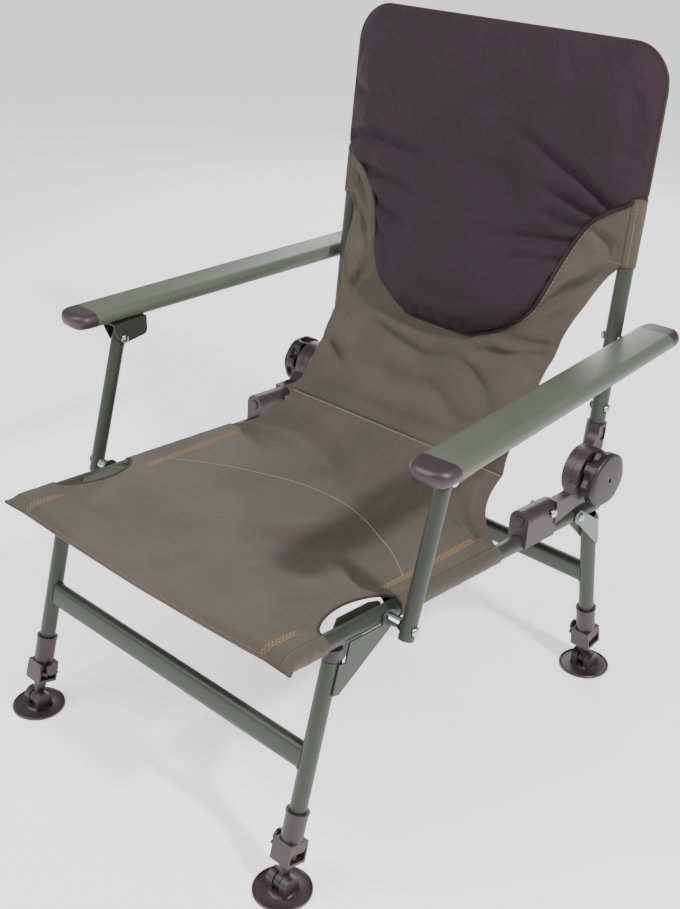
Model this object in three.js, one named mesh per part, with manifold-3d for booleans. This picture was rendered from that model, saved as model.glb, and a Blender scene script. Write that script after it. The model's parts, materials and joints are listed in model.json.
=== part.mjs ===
// A folding recliner chair for bank fishing, in millimetres.
// The sitter faces -Y, +X is the sitter's left, +Z is up, and the floor is z = 0.

import * as THREE from 'three';
import { mergeVertices } from 'three/addons/utils/BufferGeometryUtils.js';
import Module from 'manifold-3d';

const wasm = await Module();
wasm.setup();

// Fits shared by all pieces
const clearance = 0.3;
const overrun = 6;
const boltRadius = 3;
const boltHeadRadius = 5.5;
const boltHeadThickness = 3.6;

// Steel tube of the seat, back and legs
const tubeRadius = 10;
const tubeWall = 1.2;
const tubeSides = 16;

// Seat tubes, measured from the front leg pivot
const seatHalfWidth = 231.4;
const seatSlopeDeg = 3.5;
const frontPivotHeight = 296.1;
const seatTubeAhead = 143;
const seatTubeBehind = 414;
const rearPivotInset = 49.5;
const rearPivotAlong = seatTubeBehind - rearPivotInset;

// Reclining hinge, measured from the front leg pivot
const hingeInset = 41.4;
const hingeAlong = seatTubeBehind - hingeInset;
const hingeRise = 59.3;
const hingeDiscRadius = 33;
const hingeDiscThickness = 10;
const hingeBoltRadius = 5;
const hingeNutRadius = 8.5;
const hingeNutThickness = 6.5;
const hingeWebFillet = 18;

// Cast lower arm that saddles the seat tube
const saddleWall = 3.5;
const saddleReach = 68.6;
const saddleLength = 59.5;
const saddleRear = hingeAlong - saddleReach;
const saddleFront = saddleRear - saddleLength;
const saddleArchCentre = 29.5;
const saddleSkirt = 3;
const saddleScrewInset = 9.6;
const saddleScrewAlong = saddleRear - saddleScrewInset;
const saddleScrewRise = 30.4;
const saddlePlugRadius = 6.5;
const saddlePlugDepth = 1.6;
const saddleNeckLength = 26;
const saddleNeckAlong = saddleRear + saddleNeckLength;
const saddleNeckRise = 44;

// Cast upper arm that holds the back tube
const socketWall = 2.5;
const socketTop = 57.5;
const socketFloor = 24;
const socketFloorThickness = 7;
const socketWindowBottom = 37;
const socketWindowTop = 53;
const socketWindowHalf = 6.5;
const spigotTop = 92;
const socketBoltHeight = 77;

// Recline knob
const knobRadius = 35;
const knobThickness = 22;
const knobLobes = 7;
const knobStepsPerLobe = 5;
const knobScallopRadius = 7.5;
const knobScallopDepth = 6;
const knobCollarRadius = 21;
const knobCollarThickness = 4;
const knobEdge = 2.5;
const knobDimpleRadius = 2.4;
const knobDimpleDepth = 5;

// Back frame, an upturned U of tube; its origin is the hinge and its Z runs along the tube
const backTubeInset = 8;
const backHalfWidth = seatHalfWidth - backTubeInset;
const backLeanDeg = 6.6;
const backTubeSetback = 28;
const backTop = 498;
const backCornerRadius = 60;
const backCornerSteps = 4;

// Arm linkage: this crank is both the back from hinge to arm bolt and the post from pivot to rivet
const crankSetback = 47;
const crankHeight = 163;
const postOutsetWidth = 38.6;
const postHalfWidth = seatHalfWidth + postOutsetWidth;
const postRadius = 9;
const postWall = 1.2;
const postBelow = 13;
const postAbove = 9;

// Armrest profile
const armWidth = 54;
const armThickness = 20;
const armWall = 1.8;
const armAheadOfBolt = 440;
const armBehindBolt = 62;
const armCapLength = 30;
const armCapSkirt = 8;
const armCapPlug = 9;
const armCapSquareness = 2.4;
const armCapFlatShare = 0.45;
const armCapTipShare = 0.3;
const armCapSteps = 4;
const armSideGap = 2.6;
const armToeDeg = 3.6;
const armRiseDeg = 0.7;
const armCornerSteps = 4;

// Bracket under the front of each armrest
const armBracketSheet = 2;
const armBracketAhead = 14;
const armBracketBehind = 38;
const armBracketSide = 0.7;
const armBracketLug = 7.5;
const armLugDeg = [200, 290];
const armEndDeg = [-75, 0];

// Leg frames
const frontLegLeanDeg = 15.3;
const frontLegSetback = 70;
const rearLegLeanDeg = 8.2;
const rearLegSetback = 38.4;
const crossbarWidth = 31;
const crossbarThickness = 16;
const crossbarWall = 1.2;
const frontBarHeight = 152;
const rearBarHeight = 148;

// Folded sheet brackets at the tops of the legs
const bracketSheet = 2;
const frontLugRadius = 11;
const rearLugRadius = 9.5;
const frontWrapTop = 41;
const frontWrapBottom = 78;
const rearWrapTop = 26;
const rearWrapBottom = 65;
const innerFlangeRise = 13;
const outerFlangeDrop = 4;
const frontLugDeg = [-45, 170];
const innerLugDeg = [-45, 60];
const rearLugDeg = [75, 255];

// Telescopic feet
const ankleHeight = 14;
const footRadius = 34.2;
const footThickness = 3.4;
const footRim = 1.6;
const footHubRadius = 15;
const footHubHeight = 1.8;
const cheekRadius = 11;
const cheekWidth = 9.6;
const eyeRadius = 10.4;
const eyeHalfWidth = 5;
const innerLegRadius = 7.8;
const innerLegLength = 215;
const innerLegWall = 1.2;
const legEndHeight = 48;

// Plastic collar at the bottom of each leg tube
const collarWall = 2.5;
const collarTop = 90;
const collarBlockTop = 50;
const collarBlockBottom = 27;
const collarBlockHalfX = 14;
const collarBlockHalfY = 14;
const collarChamfer = 4.5;
const slotBottom = 31;
const slotTop = 45;
const slotHalfWidth = 11.5;

// Spring-loaded locking lever that runs through the collar
const leverThickness = 3;
const leverHeadroom = 1;
const leverHoleGap = 1;
const leverOutside = 13;
const leverTab = 20.5;
const leverTabThickness = 4;
const leverTabRadius = 8;
const leverTabHeight = 48;

// Fabric
const clothThickness = 1.5;
const clothSlack = 0.35;
const hemAhead = 12;
const frontSleeveEnd = 92.8;
const rearSleeveStart = 41;
const rearSleeveGap = 43;
const rearSleeveEnd = saddleFront - rearSleeveGap;
const sleeveCutDepth = 28;
const seamInset = 99.9;
const seamAlong = hingeAlong - seamInset;
const seamRise = 63.7;
const seamSideInset = 50.4;
const seamHalfWidth = seatHalfWidth - seamSideInset;
const seatHemSag = 9;
const seatDeepSag = 15;
const rearRiseShare = 0.157;
const wrapBottom = 256;
const padBoundary = 329;
const clothPanelGap = 1.6;
const panelCornerTrim = 26;
const panelEdgePower = 4;
const padSleeveWall = 2.5;
const padCrown = 13;
const padEdge = 3;
const padAcrossPower = 0.5;
const padAlongPower = 0.4;
const padBottom = 131;
const padBowlTop = 206;
const padBowlHalfWidth = 138;
const padShoulder = 269;
const padShoulderHalfWidth = 160;
const foldDepth = 3.5;
const foldPitch = 90;
const foldsAcrossHalf = 2.1;

// Columns and rows of facets in each cloth sheet
const seatCells = [10, 18];
const slingCells = [12, 12];
const panelCells = [8, 10];
const padCells = [10, 12];

const degree = Math.PI / 180;
const roundSides = 16;
const boltSides = 8;
const arcSteps = 6;
const nutSides = 6;
const boreRadius = boltRadius + clearance;
const tubeBore = tubeRadius - tubeWall;
const tubeFitRadius = tubeRadius + clearance;

const finishes = {
  greenPaint: { color: 0x4f5a51, roughness: 0.38, metalness: 0.35 },
  greyPaint: { color: 0x8c908c, roughness: 0.4, metalness: 0.35 },
  blackPaint: { color: 0x26272a, roughness: 0.4, metalness: 0.3 },
  armPaint: { color: 0x66706a, roughness: 0.42, metalness: 0.35 },
  blackPlastic: { color: 0x2f2c2e, roughness: 0.5, metalness: 0 },
  zincSteel: { color: 0xb9bbbd, roughness: 0.3, metalness: 1 },
  oliveCloth: { color: 0x6a6256, roughness: 0.9, metalness: 0 },
  blackCloth: { color: 0x3b3538, roughness: 0.9, metalness: 0 },
};

// Builders of closed geometry, and the joins and cuts between them

function solidOf(geometry) {
  const bare = geometry.clone();
  bare.deleteAttribute('normal');
  bare.deleteAttribute('uv');
  const weldDistance = 0.001;
  const merged = mergeVertices(bare, weldDistance);
  const vertProperties = new Float32Array(merged.attributes.position.array);
  const triVerts = new Uint32Array(merged.index.array);
  return new wasm.Manifold(new wasm.Mesh({ numProp: 3, vertProperties, triVerts }));
}

function joined(...geometries) {
  return geometries.map(solidOf).reduce((whole, next) => whole.add(next));
}

function cut(solid, ...geometries) {
  return geometries.map(solidOf).reduce((whole, next) => whole.subtract(next), solid);
}

function geometryOf(solid) {
  const mesh = solid.getMesh();
  const geometry = new THREE.BufferGeometry();
  geometry.setAttribute('position', new THREE.BufferAttribute(new Float32Array(mesh.vertProperties), 3));
  geometry.setIndex(new THREE.BufferAttribute(new Uint32Array(mesh.triVerts), 1));
  geometry.computeVertexNormals();
  return geometry;
}

function piece(name, solid, finish) {
  const mesh = new THREE.Mesh(geometryOf(solid), new THREE.MeshStandardMaterial(finishes[finish]));
  mesh.name = name;
  return mesh;
}

function box(xLow, xHigh, yLow, yHigh, zLow, zHigh) {
  const geometry = new THREE.BoxGeometry(xHigh - xLow, yHigh - yLow, zHigh - zLow);
  return geometry.translate((xLow + xHigh) / 2, (yLow + yHigh) / 2, (zLow + zHigh) / 2);
}

function rodX(radius, xLow, xHigh, y = 0, z = 0, sides = roundSides) {
  const geometry = new THREE.CylinderGeometry(radius, radius, xHigh - xLow, sides);
  return geometry.rotateZ(Math.PI / 2).translate((xLow + xHigh) / 2, y, z);
}

function rodY(radius, yLow, yHigh, x = 0, z = 0, sides = roundSides) {
  const geometry = new THREE.CylinderGeometry(radius, radius, yHigh - yLow, sides);
  return geometry.translate(x, (yLow + yHigh) / 2, z);
}

function rodZ(radius, zLow, zHigh, x = 0, y = 0, sides = roundSides) {
  const geometry = new THREE.CylinderGeometry(radius, radius, zHigh - zLow, sides);
  return geometry.rotateX(Math.PI / 2).translate(x, y, (zLow + zHigh) / 2);
}

function ringZ(outer, inner, zLow, zHigh, sides = tubeSides) {
  const profile = [[inner, zLow], [outer, zLow], [outer, zHigh], [inner, zHigh], [inner, zLow]];
  const geometry = new THREE.LatheGeometry(profile.map(([r, z]) => new THREE.Vector2(r, z)), sides);
  return geometry.rotateX(Math.PI / 2);
}

function ringY(outer, inner, yLow, yHigh, sides = tubeSides) {
  const middle = (yLow + yHigh) / 2;
  const half = (yHigh - yLow) / 2;
  return ringZ(outer, inner, -half, half, sides).rotateX(Math.PI / 2).translate(0, middle, 0);
}

// A flat plate whose outline is given as (y, z) points, between two x positions
function plateX(outline, xLow, xHigh) {
  const shape = outline instanceof THREE.Shape
    ? outline
    : new THREE.Shape(outline.map(([y, z]) => new THREE.Vector2(y, z)));
  const geometry = new THREE.ExtrudeGeometry(shape, { depth: xHigh - xLow, bevelEnabled: false });
  const toSide = new THREE.Matrix4().makeBasis(
    new THREE.Vector3(0, 1, 0),
    new THREE.Vector3(0, 0, 1),
    new THREE.Vector3(1, 0, 0),
  );
  return geometry.applyMatrix4(toSide).translate(xLow, 0, 0);
}

// A prism along Y whose outline is given as (x, z) points
function prismY(shape, yLow, yHigh, curveSegments = armCornerSteps) {
  const options = { depth: yHigh - yLow, bevelEnabled: false, curveSegments };
  return new THREE.ExtrudeGeometry(shape, options).rotateX(Math.PI / 2).translate(0, yHigh, 0);
}

function stadium(width, height) {
  const radius = height / 2;
  const reach = (width - height) / 2;
  const shape = new THREE.Shape();
  shape.absarc(reach, 0, radius, -Math.PI / 2, Math.PI / 2, false);
  shape.absarc(-reach, 0, radius, Math.PI / 2, Math.PI * 1.5, false);
  return shape;
}

function arcPoints(centreY, centreZ, radius, fromDeg, toDeg, steps) {
  const points = [];
  for (let step = 0; step <= steps; step += 1) {
    const angle = (fromDeg + ((toDeg - fromDeg) * step) / steps) * degree;
    points.push([centreY + radius * Math.cos(angle), centreZ + radius * Math.sin(angle)]);
  }
  return points;
}

// A route through corner points, one extrusion step per stretch
class Route extends THREE.Curve {
  constructor(points) {
    super();
    this.points = points;
  }

  getPoint(share, target = new THREE.Vector3()) {
    const place = share * (this.points.length - 1);
    const step = Math.min(Math.floor(place), this.points.length - 2);
    return target.lerpVectors(this.points[step], this.points[step + 1], place - step);
  }

  getPointAt(share, target) {
    return this.getPoint(share, target);
  }

  getTangentAt(share, target) {
    return this.getTangent(share, target);
  }
}

function tubeAlong(points, outer, inner, sides = roundSides) {
  const section = new THREE.Shape();
  section.absarc(0, 0, outer, 0, Math.PI * 2, false);
  const bore = new THREE.Path();
  bore.absarc(0, 0, inner, 0, Math.PI * 2, true);
  section.holes.push(bore);
  const route = new Route(points);
  const options = { steps: points.length - 1, extrudePath: route, curveSegments: sides / 2 };
  return new THREE.ExtrudeGeometry(section, options);
}

// A closed sheet: place(u, v) gives its middle surface, and half a thickness goes to each side
function sheet(place, columns, rows, thickness) {
  const nudge = 0.0005;
  const positions = [];
  const faces = [];
  const perSide = (columns + 1) * (rows + 1);
  for (const side of [1, -1]) {
    for (let row = 0; row <= rows; row += 1) {
      for (let column = 0; column <= columns; column += 1) {
        const u = column / columns;
        const v = row / rows;
        const alongU = place(Math.min(u + nudge, 1), v).sub(place(Math.max(u - nudge, 0), v));
        const alongV = place(u, Math.min(v + nudge, 1)).sub(place(u, Math.max(v - nudge, 0)));
        const normal = alongU.cross(alongV).normalize();
        const half = (typeof thickness === 'function' ? thickness(u, v, side) : thickness / 2) * side;
        const point = place(u, v).addScaledVector(normal, half);
        positions.push(point.x, point.y, point.z);
      }
    }
  }
  const at = (side, column, row) => side * perSide + row * (columns + 1) + column;
  const quad = (a, b, c, d) => faces.push(a, b, c, a, c, d);
  for (let row = 0; row < rows; row += 1) {
    for (let column = 0; column < columns; column += 1) {
      quad(at(0, column, row), at(0, column + 1, row), at(0, column + 1, row + 1), at(0, column, row + 1));
      quad(at(1, column, row), at(1, column, row + 1), at(1, column + 1, row + 1), at(1, column + 1, row));
    }
  }
  for (let column = 0; column < columns; column += 1) {
    quad(at(0, column, 0), at(1, column, 0), at(1, column + 1, 0), at(0, column + 1, 0));
    quad(at(0, column + 1, rows), at(1, column + 1, rows), at(1, column, rows), at(0, column, rows));
  }
  for (let row = 0; row < rows; row += 1) {
    quad(at(0, 0, row + 1), at(1, 0, row + 1), at(1, 0, row), at(0, 0, row));
    quad(at(0, columns, row), at(1, columns, row), at(1, columns, row + 1), at(0, columns, row + 1));
  }
  const geometry = new THREE.BufferGeometry();
  geometry.setAttribute('position', new THREE.Float32BufferAttribute(positions, 3));
  geometry.setIndex(faces);
  return geometry;
}

// A closed body through rings of points, each ring turning from +X to +Z and the rings running to -Y
function loft(rings) {
  const perRing = rings[0].length;
  const positions = rings.flat().flatMap((point) => point.toArray());
  const faces = [];
  for (let ring = 0; ring < rings.length - 1; ring += 1) {
    for (let step = 0; step < perRing; step += 1) {
      const next = (step + 1) % perRing;
      const [near, far] = [ring * perRing, (ring + 1) * perRing];
      faces.push(near + step, near + next, far + next, near + step, far + next, far + step);
    }
  }
  const last = (rings.length - 1) * perRing;
  for (let step = 1; step < perRing - 1; step += 1) {
    faces.push(0, step + 1, step, last, last + step, last + step + 1);
  }
  const geometry = new THREE.BufferGeometry();
  geometry.setAttribute('position', new THREE.Float32BufferAttribute(positions, 3));
  geometry.setIndex(faces);
  return geometry;
}

function smooth(low, high, value) {
  const share = Math.min(Math.max((value - low) / (high - low), 0), 1);
  return share * share * (3 - 2 * share);
}

// A smooth line through (place, value) stations, held level past both ends
function throughStations(stations, place) {
  if (place <= stations[0][0]) return stations[0][1];
  for (let index = 1; index < stations.length; index += 1) {
    const [low, lowValue] = stations[index - 1];
    const [high, highValue] = stations[index];
    if (place <= high) {
      return lowValue + ((highValue - lowValue) * (place - low)) / (high - low);
    }
  }
  return stations[stations.length - 1][1];
}

// Frames of the chair's main groups

const sides = [
  { label: 'left', sign: 1 },
  { label: 'right', sign: -1 },
];

const chair = new THREE.Group();

const seatGroup = new THREE.Group();
seatGroup.position.set(0, 0, frontPivotHeight);
seatGroup.rotation.x = -seatSlopeDeg * degree;
chair.add(seatGroup);
seatGroup.updateMatrixWorld(true);

const hingeCentre = seatGroup.localToWorld(new THREE.Vector3(0, hingeAlong, hingeRise));
const rearPivot = seatGroup.localToWorld(new THREE.Vector3(0, rearPivotAlong, 0));

const backGroup = new THREE.Group();
backGroup.position.copy(hingeCentre);
backGroup.rotation.x = -backLeanDeg * degree;
chair.add(backGroup);
backGroup.updateMatrixWorld(true);

const armBolt = new THREE.Vector3(0, hingeCentre.y + crankSetback, hingeCentre.z + crankHeight);
const postRivet = new THREE.Vector3(0, crankSetback, frontPivotHeight + crankHeight);
const armBoltInBack = backGroup.worldToLocal(armBolt.clone());

function mirrored(side, low, high) {
  return side.sign > 0 ? [low, high] : [-high, -low];
}

// Seat tubes, each bored across for the front pivot bolt and the rear rivet

function seatTube(side) {
  const x = side.sign * seatHalfWidth;
  const tube = cut(
    solidOf(ringY(tubeRadius, tubeBore, -seatTubeAhead, seatTubeBehind)),
    rodX(boreRadius, -tubeRadius - overrun, tubeRadius + overrun, 0, 0, boltSides),
    rodX(boreRadius, -tubeRadius - overrun, tubeRadius + overrun, rearPivotAlong, 0, boltSides),
  );
  const mesh = piece(`seat_tube_${side.label}`, tube, 'greenPaint');
  mesh.position.x = x;
  return mesh;
}

// Hinge layout across the chair, from the middle outwards
const socketRadius = tubeFitRadius + socketWall;
const hingeFace = backHalfWidth + socketRadius + clearance / 2;
const upperDiscInner = hingeFace - clearance / 2 - hingeDiscThickness - saddleWall;
const upperDiscOuter = hingeFace - clearance / 2;
const lowerDiscInner = hingeFace + clearance / 2;
const lowerDiscOuter = lowerDiscInner + hingeDiscThickness;
const hingeBore = hingeBoltRadius + clearance;

// Where the webs of both arms meet their discs, in degrees round the hinge
const lowerWebFootDeg = -50;
const lowerWebNeckDeg = 190;
const upperWebFootDeg = 15;

// Lower arm: a casting with an arched top over the seat tube, rising to the hinge disc

function lowerArm(side) {
  const half = tubeFitRadius + saddleWall;
  const arch = new THREE.Shape();
  arch.moveTo(-half, -saddleSkirt);
  arch.lineTo(half, -saddleSkirt);
  arch.lineTo(half, saddleArchCentre);
  arch.absarc(0, saddleArchCentre, half, 0, Math.PI, false);
  arch.lineTo(-half, -saddleSkirt);
  const archTop = saddleArchCentre + half;
  const centre = side.sign * seatHalfWidth;
  const plate = mirrored(side, lowerDiscInner - seatHalfWidth, lowerDiscOuter - seatHalfWidth);
  const plateInner = lowerDiscInner - seatHalfWidth - saddleWall;
  const plateSpan = mirrored(side, plateInner, lowerDiscOuter - seatHalfWidth);
  const webFoot = saddleRear - half;
  const onDisc = (angle) => [
    hingeAlong + hingeDiscRadius * Math.cos(angle * degree),
    hingeRise + hingeDiscRadius * Math.sin(angle * degree),
  ];
  const web = [
    [webFoot, half],
    [saddleRear + saddleWall, half],
    onDisc(lowerWebFootDeg),
    [hingeAlong, hingeRise],
    onDisc(lowerWebNeckDeg),
    [saddleNeckAlong, saddleNeckRise],
    [saddleRear, archTop - clearance],
    [webFoot, archTop - clearance],
  ];
  const keep = mirrored(side, upperDiscInner - seatHalfWidth - overrun, lowerDiscInner - seatHalfWidth);
  const keepRadius = (hingeDiscRadius + clearance) / Math.cos(Math.PI / tubeSides);
  const boreSpan = mirrored(side, -overrun, lowerDiscOuter - seatHalfWidth + overrun);
  let body = joined(
    prismY(arch, saddleFront, saddleRear, armCornerSteps),
    rodY(saddlePlugRadius, saddleFront - saddlePlugDepth, saddleFront + overrun, 0, saddleArchCentre),
    plateX(web, ...plateSpan),
    rodX(hingeDiscRadius, ...plate, hingeAlong, hingeRise, tubeSides),
  );
  body = cut(
    body,
    rodX(keepRadius, ...keep, hingeAlong, hingeRise, tubeSides),
    rodX(hingeBore, ...boreSpan, hingeAlong, hingeRise),
    rodY(tubeFitRadius, saddleFront - overrun, seatTubeBehind, 0, 0, tubeSides),
    box(-tubeFitRadius, tubeFitRadius, saddleFront - overrun, seatTubeBehind, -tubeRadius - overrun, 0),
    rodX(boreRadius, -half - overrun, half + overrun, saddleScrewAlong, saddleScrewRise, boltSides),
  );
  const mesh = piece(`hinge_lower_arm_${side.label}`, body, 'blackPlastic');
  mesh.position.x = centre;
  return mesh;
}

function saddleScrew(side) {
  const outer = lowerDiscOuter - seatHalfWidth + clearance;
  const inner = -(tubeFitRadius + saddleWall + clearance);
  const shank = mirrored(side, inner - boltHeadThickness / 2, outer + boltHeadThickness / 2);
  const body = joined(
    rodX(boltRadius, ...shank, 0, 0, boltSides),
    rodX(boltHeadRadius, ...mirrored(side, outer, outer + boltHeadThickness), 0, 0, boltSides),
    rodX(boltHeadRadius, ...mirrored(side, inner - boltHeadThickness, inner), 0, 0, nutSides),
  );
  const mesh = piece(`saddle_screw_${side.label}`, body, 'zincSteel');
  mesh.position.set(side.sign * seatHalfWidth, saddleScrewAlong, saddleScrewRise);
  return mesh;
}

// Sheet brackets: each one wraps its leg and reaches to a pivot on the seat tube
const flangeInner = tubeRadius + clearance * 2;
const flangeOuter = flangeInner + bracketSheet;
const spacerRadius = 7;

function frontPivotBolt(side) {
  const nutFace = -(flangeOuter + clearance);
  const headFace = postHalfWidth + postRadius + clearance - seatHalfWidth;
  const spacerLow = flangeOuter + clearance;
  const spacerHigh = postHalfWidth - postRadius - clearance - seatHalfWidth;
  const shankSpan = mirrored(side, nutFace - boltHeadThickness, headFace + boltHeadThickness / 2);
  const body = joined(
    rodX(boltRadius, ...shankSpan, 0, 0, boltSides),
    rodX(boltHeadRadius, ...mirrored(side, nutFace - boltHeadThickness, nutFace), 0, 0, nutSides),
    rodX(spacerRadius, ...mirrored(side, spacerLow, spacerHigh)),
    rodX(boltHeadRadius, ...mirrored(side, headFace, headFace + boltHeadThickness), 0, 0, boltSides),
  );
  const mesh = piece(`front_pivot_bolt_${side.label}`, body, 'zincSteel');
  mesh.position.x = side.sign * seatHalfWidth;
  return mesh;
}

function rearPivotRivet(side) {
  const face = flangeOuter + clearance;
  const body = joined(
    rodX(boltRadius, -face - boltHeadThickness / 2, face + boltHeadThickness / 2, 0, 0, boltSides),
    rodX(boltHeadRadius, face, face + boltHeadThickness, 0, 0, boltSides),
    rodX(boltHeadRadius, -face - boltHeadThickness, -face, 0, 0, boltSides),
  );
  const mesh = piece(`rear_pivot_rivet_${side.label}`, body, 'zincSteel');
  mesh.position.set(side.sign * seatHalfWidth, rearPivotAlong, 0);
  return mesh;
}

// Upper arm: a disc, a socket round the back tube and a spigot up its bore

function upperArm(side) {
  const x = side.sign * backHalfWidth;
  const disc = mirrored(side, upperDiscInner, upperDiscOuter);
  const tubeFoot = socketFloor + socketFloorThickness;
  const socketFront = backTubeSetback - socketRadius;
  const filletY = socketFront - hingeWebFillet;
  const filletZ = Math.sqrt((hingeDiscRadius + hingeWebFillet) ** 2 - filletY ** 2);
  const filletEnd = -Math.atan2(filletZ, -filletY) / degree;
  const webFootAngle = upperWebFootDeg * degree;
  const web = [
    ...arcPoints(filletY, filletZ, hingeWebFillet, filletEnd, 0, armCornerSteps),
    [socketFront, socketTop],
    [backTubeSetback, socketTop],
    [backTubeSetback, socketFloor],
    [hingeDiscRadius * Math.cos(webFootAngle), hingeDiscRadius * Math.sin(webFootAngle)],
    [0, 0],
  ];
  const windowSpan = mirrored(side, backHalfWidth + tubeBore, backHalfWidth + socketRadius + overrun);
  let body = joined(
    rodX(hingeDiscRadius, ...disc, 0, 0, tubeSides),
    plateX(web, ...disc),
    rodZ(socketRadius, socketFloor, socketTop, x, backTubeSetback, tubeSides),
  );
  body = cut(
    body,
    rodZ(tubeFitRadius, tubeFoot, socketTop + overrun, x, backTubeSetback, tubeSides),
    rodX(hingeBore, ...mirrored(side, upperDiscInner - overrun, upperDiscOuter + overrun)),
    box(
      ...windowSpan,
      backTubeSetback - socketWindowHalf,
      backTubeSetback + socketWindowHalf,
      socketWindowBottom,
      socketWindowTop,
    ),
  );
  const spigotSpan = [socketFloor + clearance, spigotTop];
  body = body.add(solidOf(rodZ(tubeBore - clearance, ...spigotSpan, x, backTubeSetback, tubeSides)));
  const boltSpan = mirrored(side, backHalfWidth - tubeRadius - overrun, backHalfWidth + tubeRadius + overrun);
  body = cut(body, rodX(boreRadius, ...boltSpan, backTubeSetback, socketBoltHeight, boltSides));
  return piece(`hinge_upper_arm_${side.label}`, body, 'blackPlastic');
}

function backFrame() {
  const foot = socketFloor + socketFloorThickness + clearance;
  const cornerX = backHalfWidth - backCornerRadius;
  const cornerZ = backTop - backCornerRadius;
  const points = [new THREE.Vector3(backHalfWidth, backTubeSetback, foot)];
  for (let step = 0; step <= backCornerSteps; step += 1) {
    const angle = ((Math.PI / 2) * step) / backCornerSteps;
    const x = cornerX + backCornerRadius * Math.cos(angle);
    points.push(new THREE.Vector3(x, backTubeSetback, cornerZ + backCornerRadius * Math.sin(angle)));
  }
  const otherHalf = points.map((point) => new THREE.Vector3(-point.x, point.y, point.z)).reverse();
  const body = cut(
    solidOf(tubeAlong([...points, ...otherHalf], tubeRadius, tubeBore)),
    ...sides.flatMap((side) => {
      const span = mirrored(side, backHalfWidth - tubeRadius - overrun, backHalfWidth + tubeRadius + overrun);
      return [
        rodX(boreRadius, ...span, backTubeSetback, socketBoltHeight, boltSides),
        rodX(boreRadius, ...span, armBoltInBack.y, armBoltInBack.z, boltSides),
      ];
    }),
  );
  return piece('back_frame', body, 'greenPaint');
}

function socketBolt(side) {
  const face = tubeRadius + clearance;
  const body = joined(
    rodX(boltRadius, -face - boltHeadThickness / 2, face + boltHeadThickness / 2, 0, 0, boltSides),
    rodX(boltHeadRadius - clearance, face, face + boltHeadThickness, 0, 0, boltSides),
    rodX(boltHeadRadius - clearance, -face - boltHeadThickness, -face, 0, 0, boltSides),
  );
  const mesh = piece(`socket_bolt_${side.label}`, body, 'zincSteel');
  mesh.position.set(side.sign * backHalfWidth, backTubeSetback, socketBoltHeight);
  return mesh;
}

// The arm bolt runs from a nut inside the back frame into the side wall of the armrest
const armInnerFace = backHalfWidth + tubeRadius + armSideGap;
const washerThickness = armSideGap - clearance * 4;

function armrestBolt(side) {
  const outerFace = backHalfWidth + tubeRadius;
  const boreRadiusInside = armThickness / 2 - armWall;
  const wallInside = armInnerFace + armThickness / 2 + clearance * 3
    - Math.sqrt(boreRadiusInside ** 2 - boltHeadRadius ** 2);
  const nutFace = backHalfWidth - tubeRadius - clearance;
  const washerLow = outerFace + clearance;
  const shankSpan = mirrored(side, nutFace - boltHeadThickness, wallInside + boltHeadThickness);
  const body = joined(
    rodX(boltRadius, ...shankSpan, 0, 0, boltSides),
    rodX(boltHeadRadius, ...mirrored(side, nutFace - boltHeadThickness, nutFace), 0, 0, nutSides),
    rodX(boltHeadRadius, ...mirrored(side, washerLow, washerLow + washerThickness), 0, 0, boltSides),
    rodX(boltHeadRadius, ...mirrored(side, wallInside, wallInside + boltHeadThickness), 0, 0, nutSides),
  );
  const mesh = piece(`armrest_bolt_${side.label}`, body, 'zincSteel');
  mesh.position.set(0, armBoltInBack.y, armBoltInBack.z);
  return mesh;
}

// Knob with its bolt, which runs through both arms

function reclineKnob(side) {
  const collarLow = lowerDiscOuter + clearance;
  const bodyLow = collarLow + knobCollarThickness - clearance * 2;
  const bodyHigh = bodyLow + knobThickness;
  const profile = [
    [0, bodyLow],
    [knobRadius - knobEdge, bodyLow],
    [knobRadius, bodyLow + knobEdge],
    [knobRadius, bodyHigh - knobEdge],
    [knobRadius - knobEdge, bodyHigh],
    [0, bodyHigh],
  ];
  const outline = profile.map(([r, x]) => new THREE.Vector2(r, x));
  const lobed = new THREE.LatheGeometry(outline, knobLobes * knobStepsPerLobe);
  const solid = solidOf(lobed.rotateZ(-Math.PI / 2));
  const scallops = [];
  for (let lobe = 0; lobe < knobLobes; lobe += 1) {
    const angle = ((lobe + 0.5) / knobLobes) * Math.PI * 2;
    const reach = knobRadius + knobScallopRadius - knobScallopDepth;
    const [y, z] = [reach * Math.cos(angle), reach * Math.sin(angle)];
    scallops.push(rodX(knobScallopRadius, bodyLow - overrun, bodyHigh + overrun, y, z, boltSides));
  }
  const nutLow = upperDiscInner - clearance - hingeNutThickness;
  let body = cut(solid, ...scallops, rodX(knobDimpleRadius, bodyHigh - knobDimpleDepth, bodyHigh + overrun));
  body = body.add(solidOf(rodX(knobCollarRadius, collarLow, bodyLow + overrun, 0, 0, tubeSides)));
  body = body.add(solidOf(rodX(hingeBoltRadius, nutLow, bodyLow + overrun)));
  body = body.add(solidOf(rodX(hingeNutRadius, nutLow, nutLow + hingeNutThickness, 0, 0, nutSides)));
  const mesh = piece(`recline_knob_${side.label}`, body, 'blackPlastic');
  mesh.position.copy(hingeCentre);
  mesh.rotation.z = side.sign > 0 ? 0 : Math.PI;
  return mesh;
}

// Armrest: a hollow flat-oval extrusion with moulded end caps, a front bracket and its rivet

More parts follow.
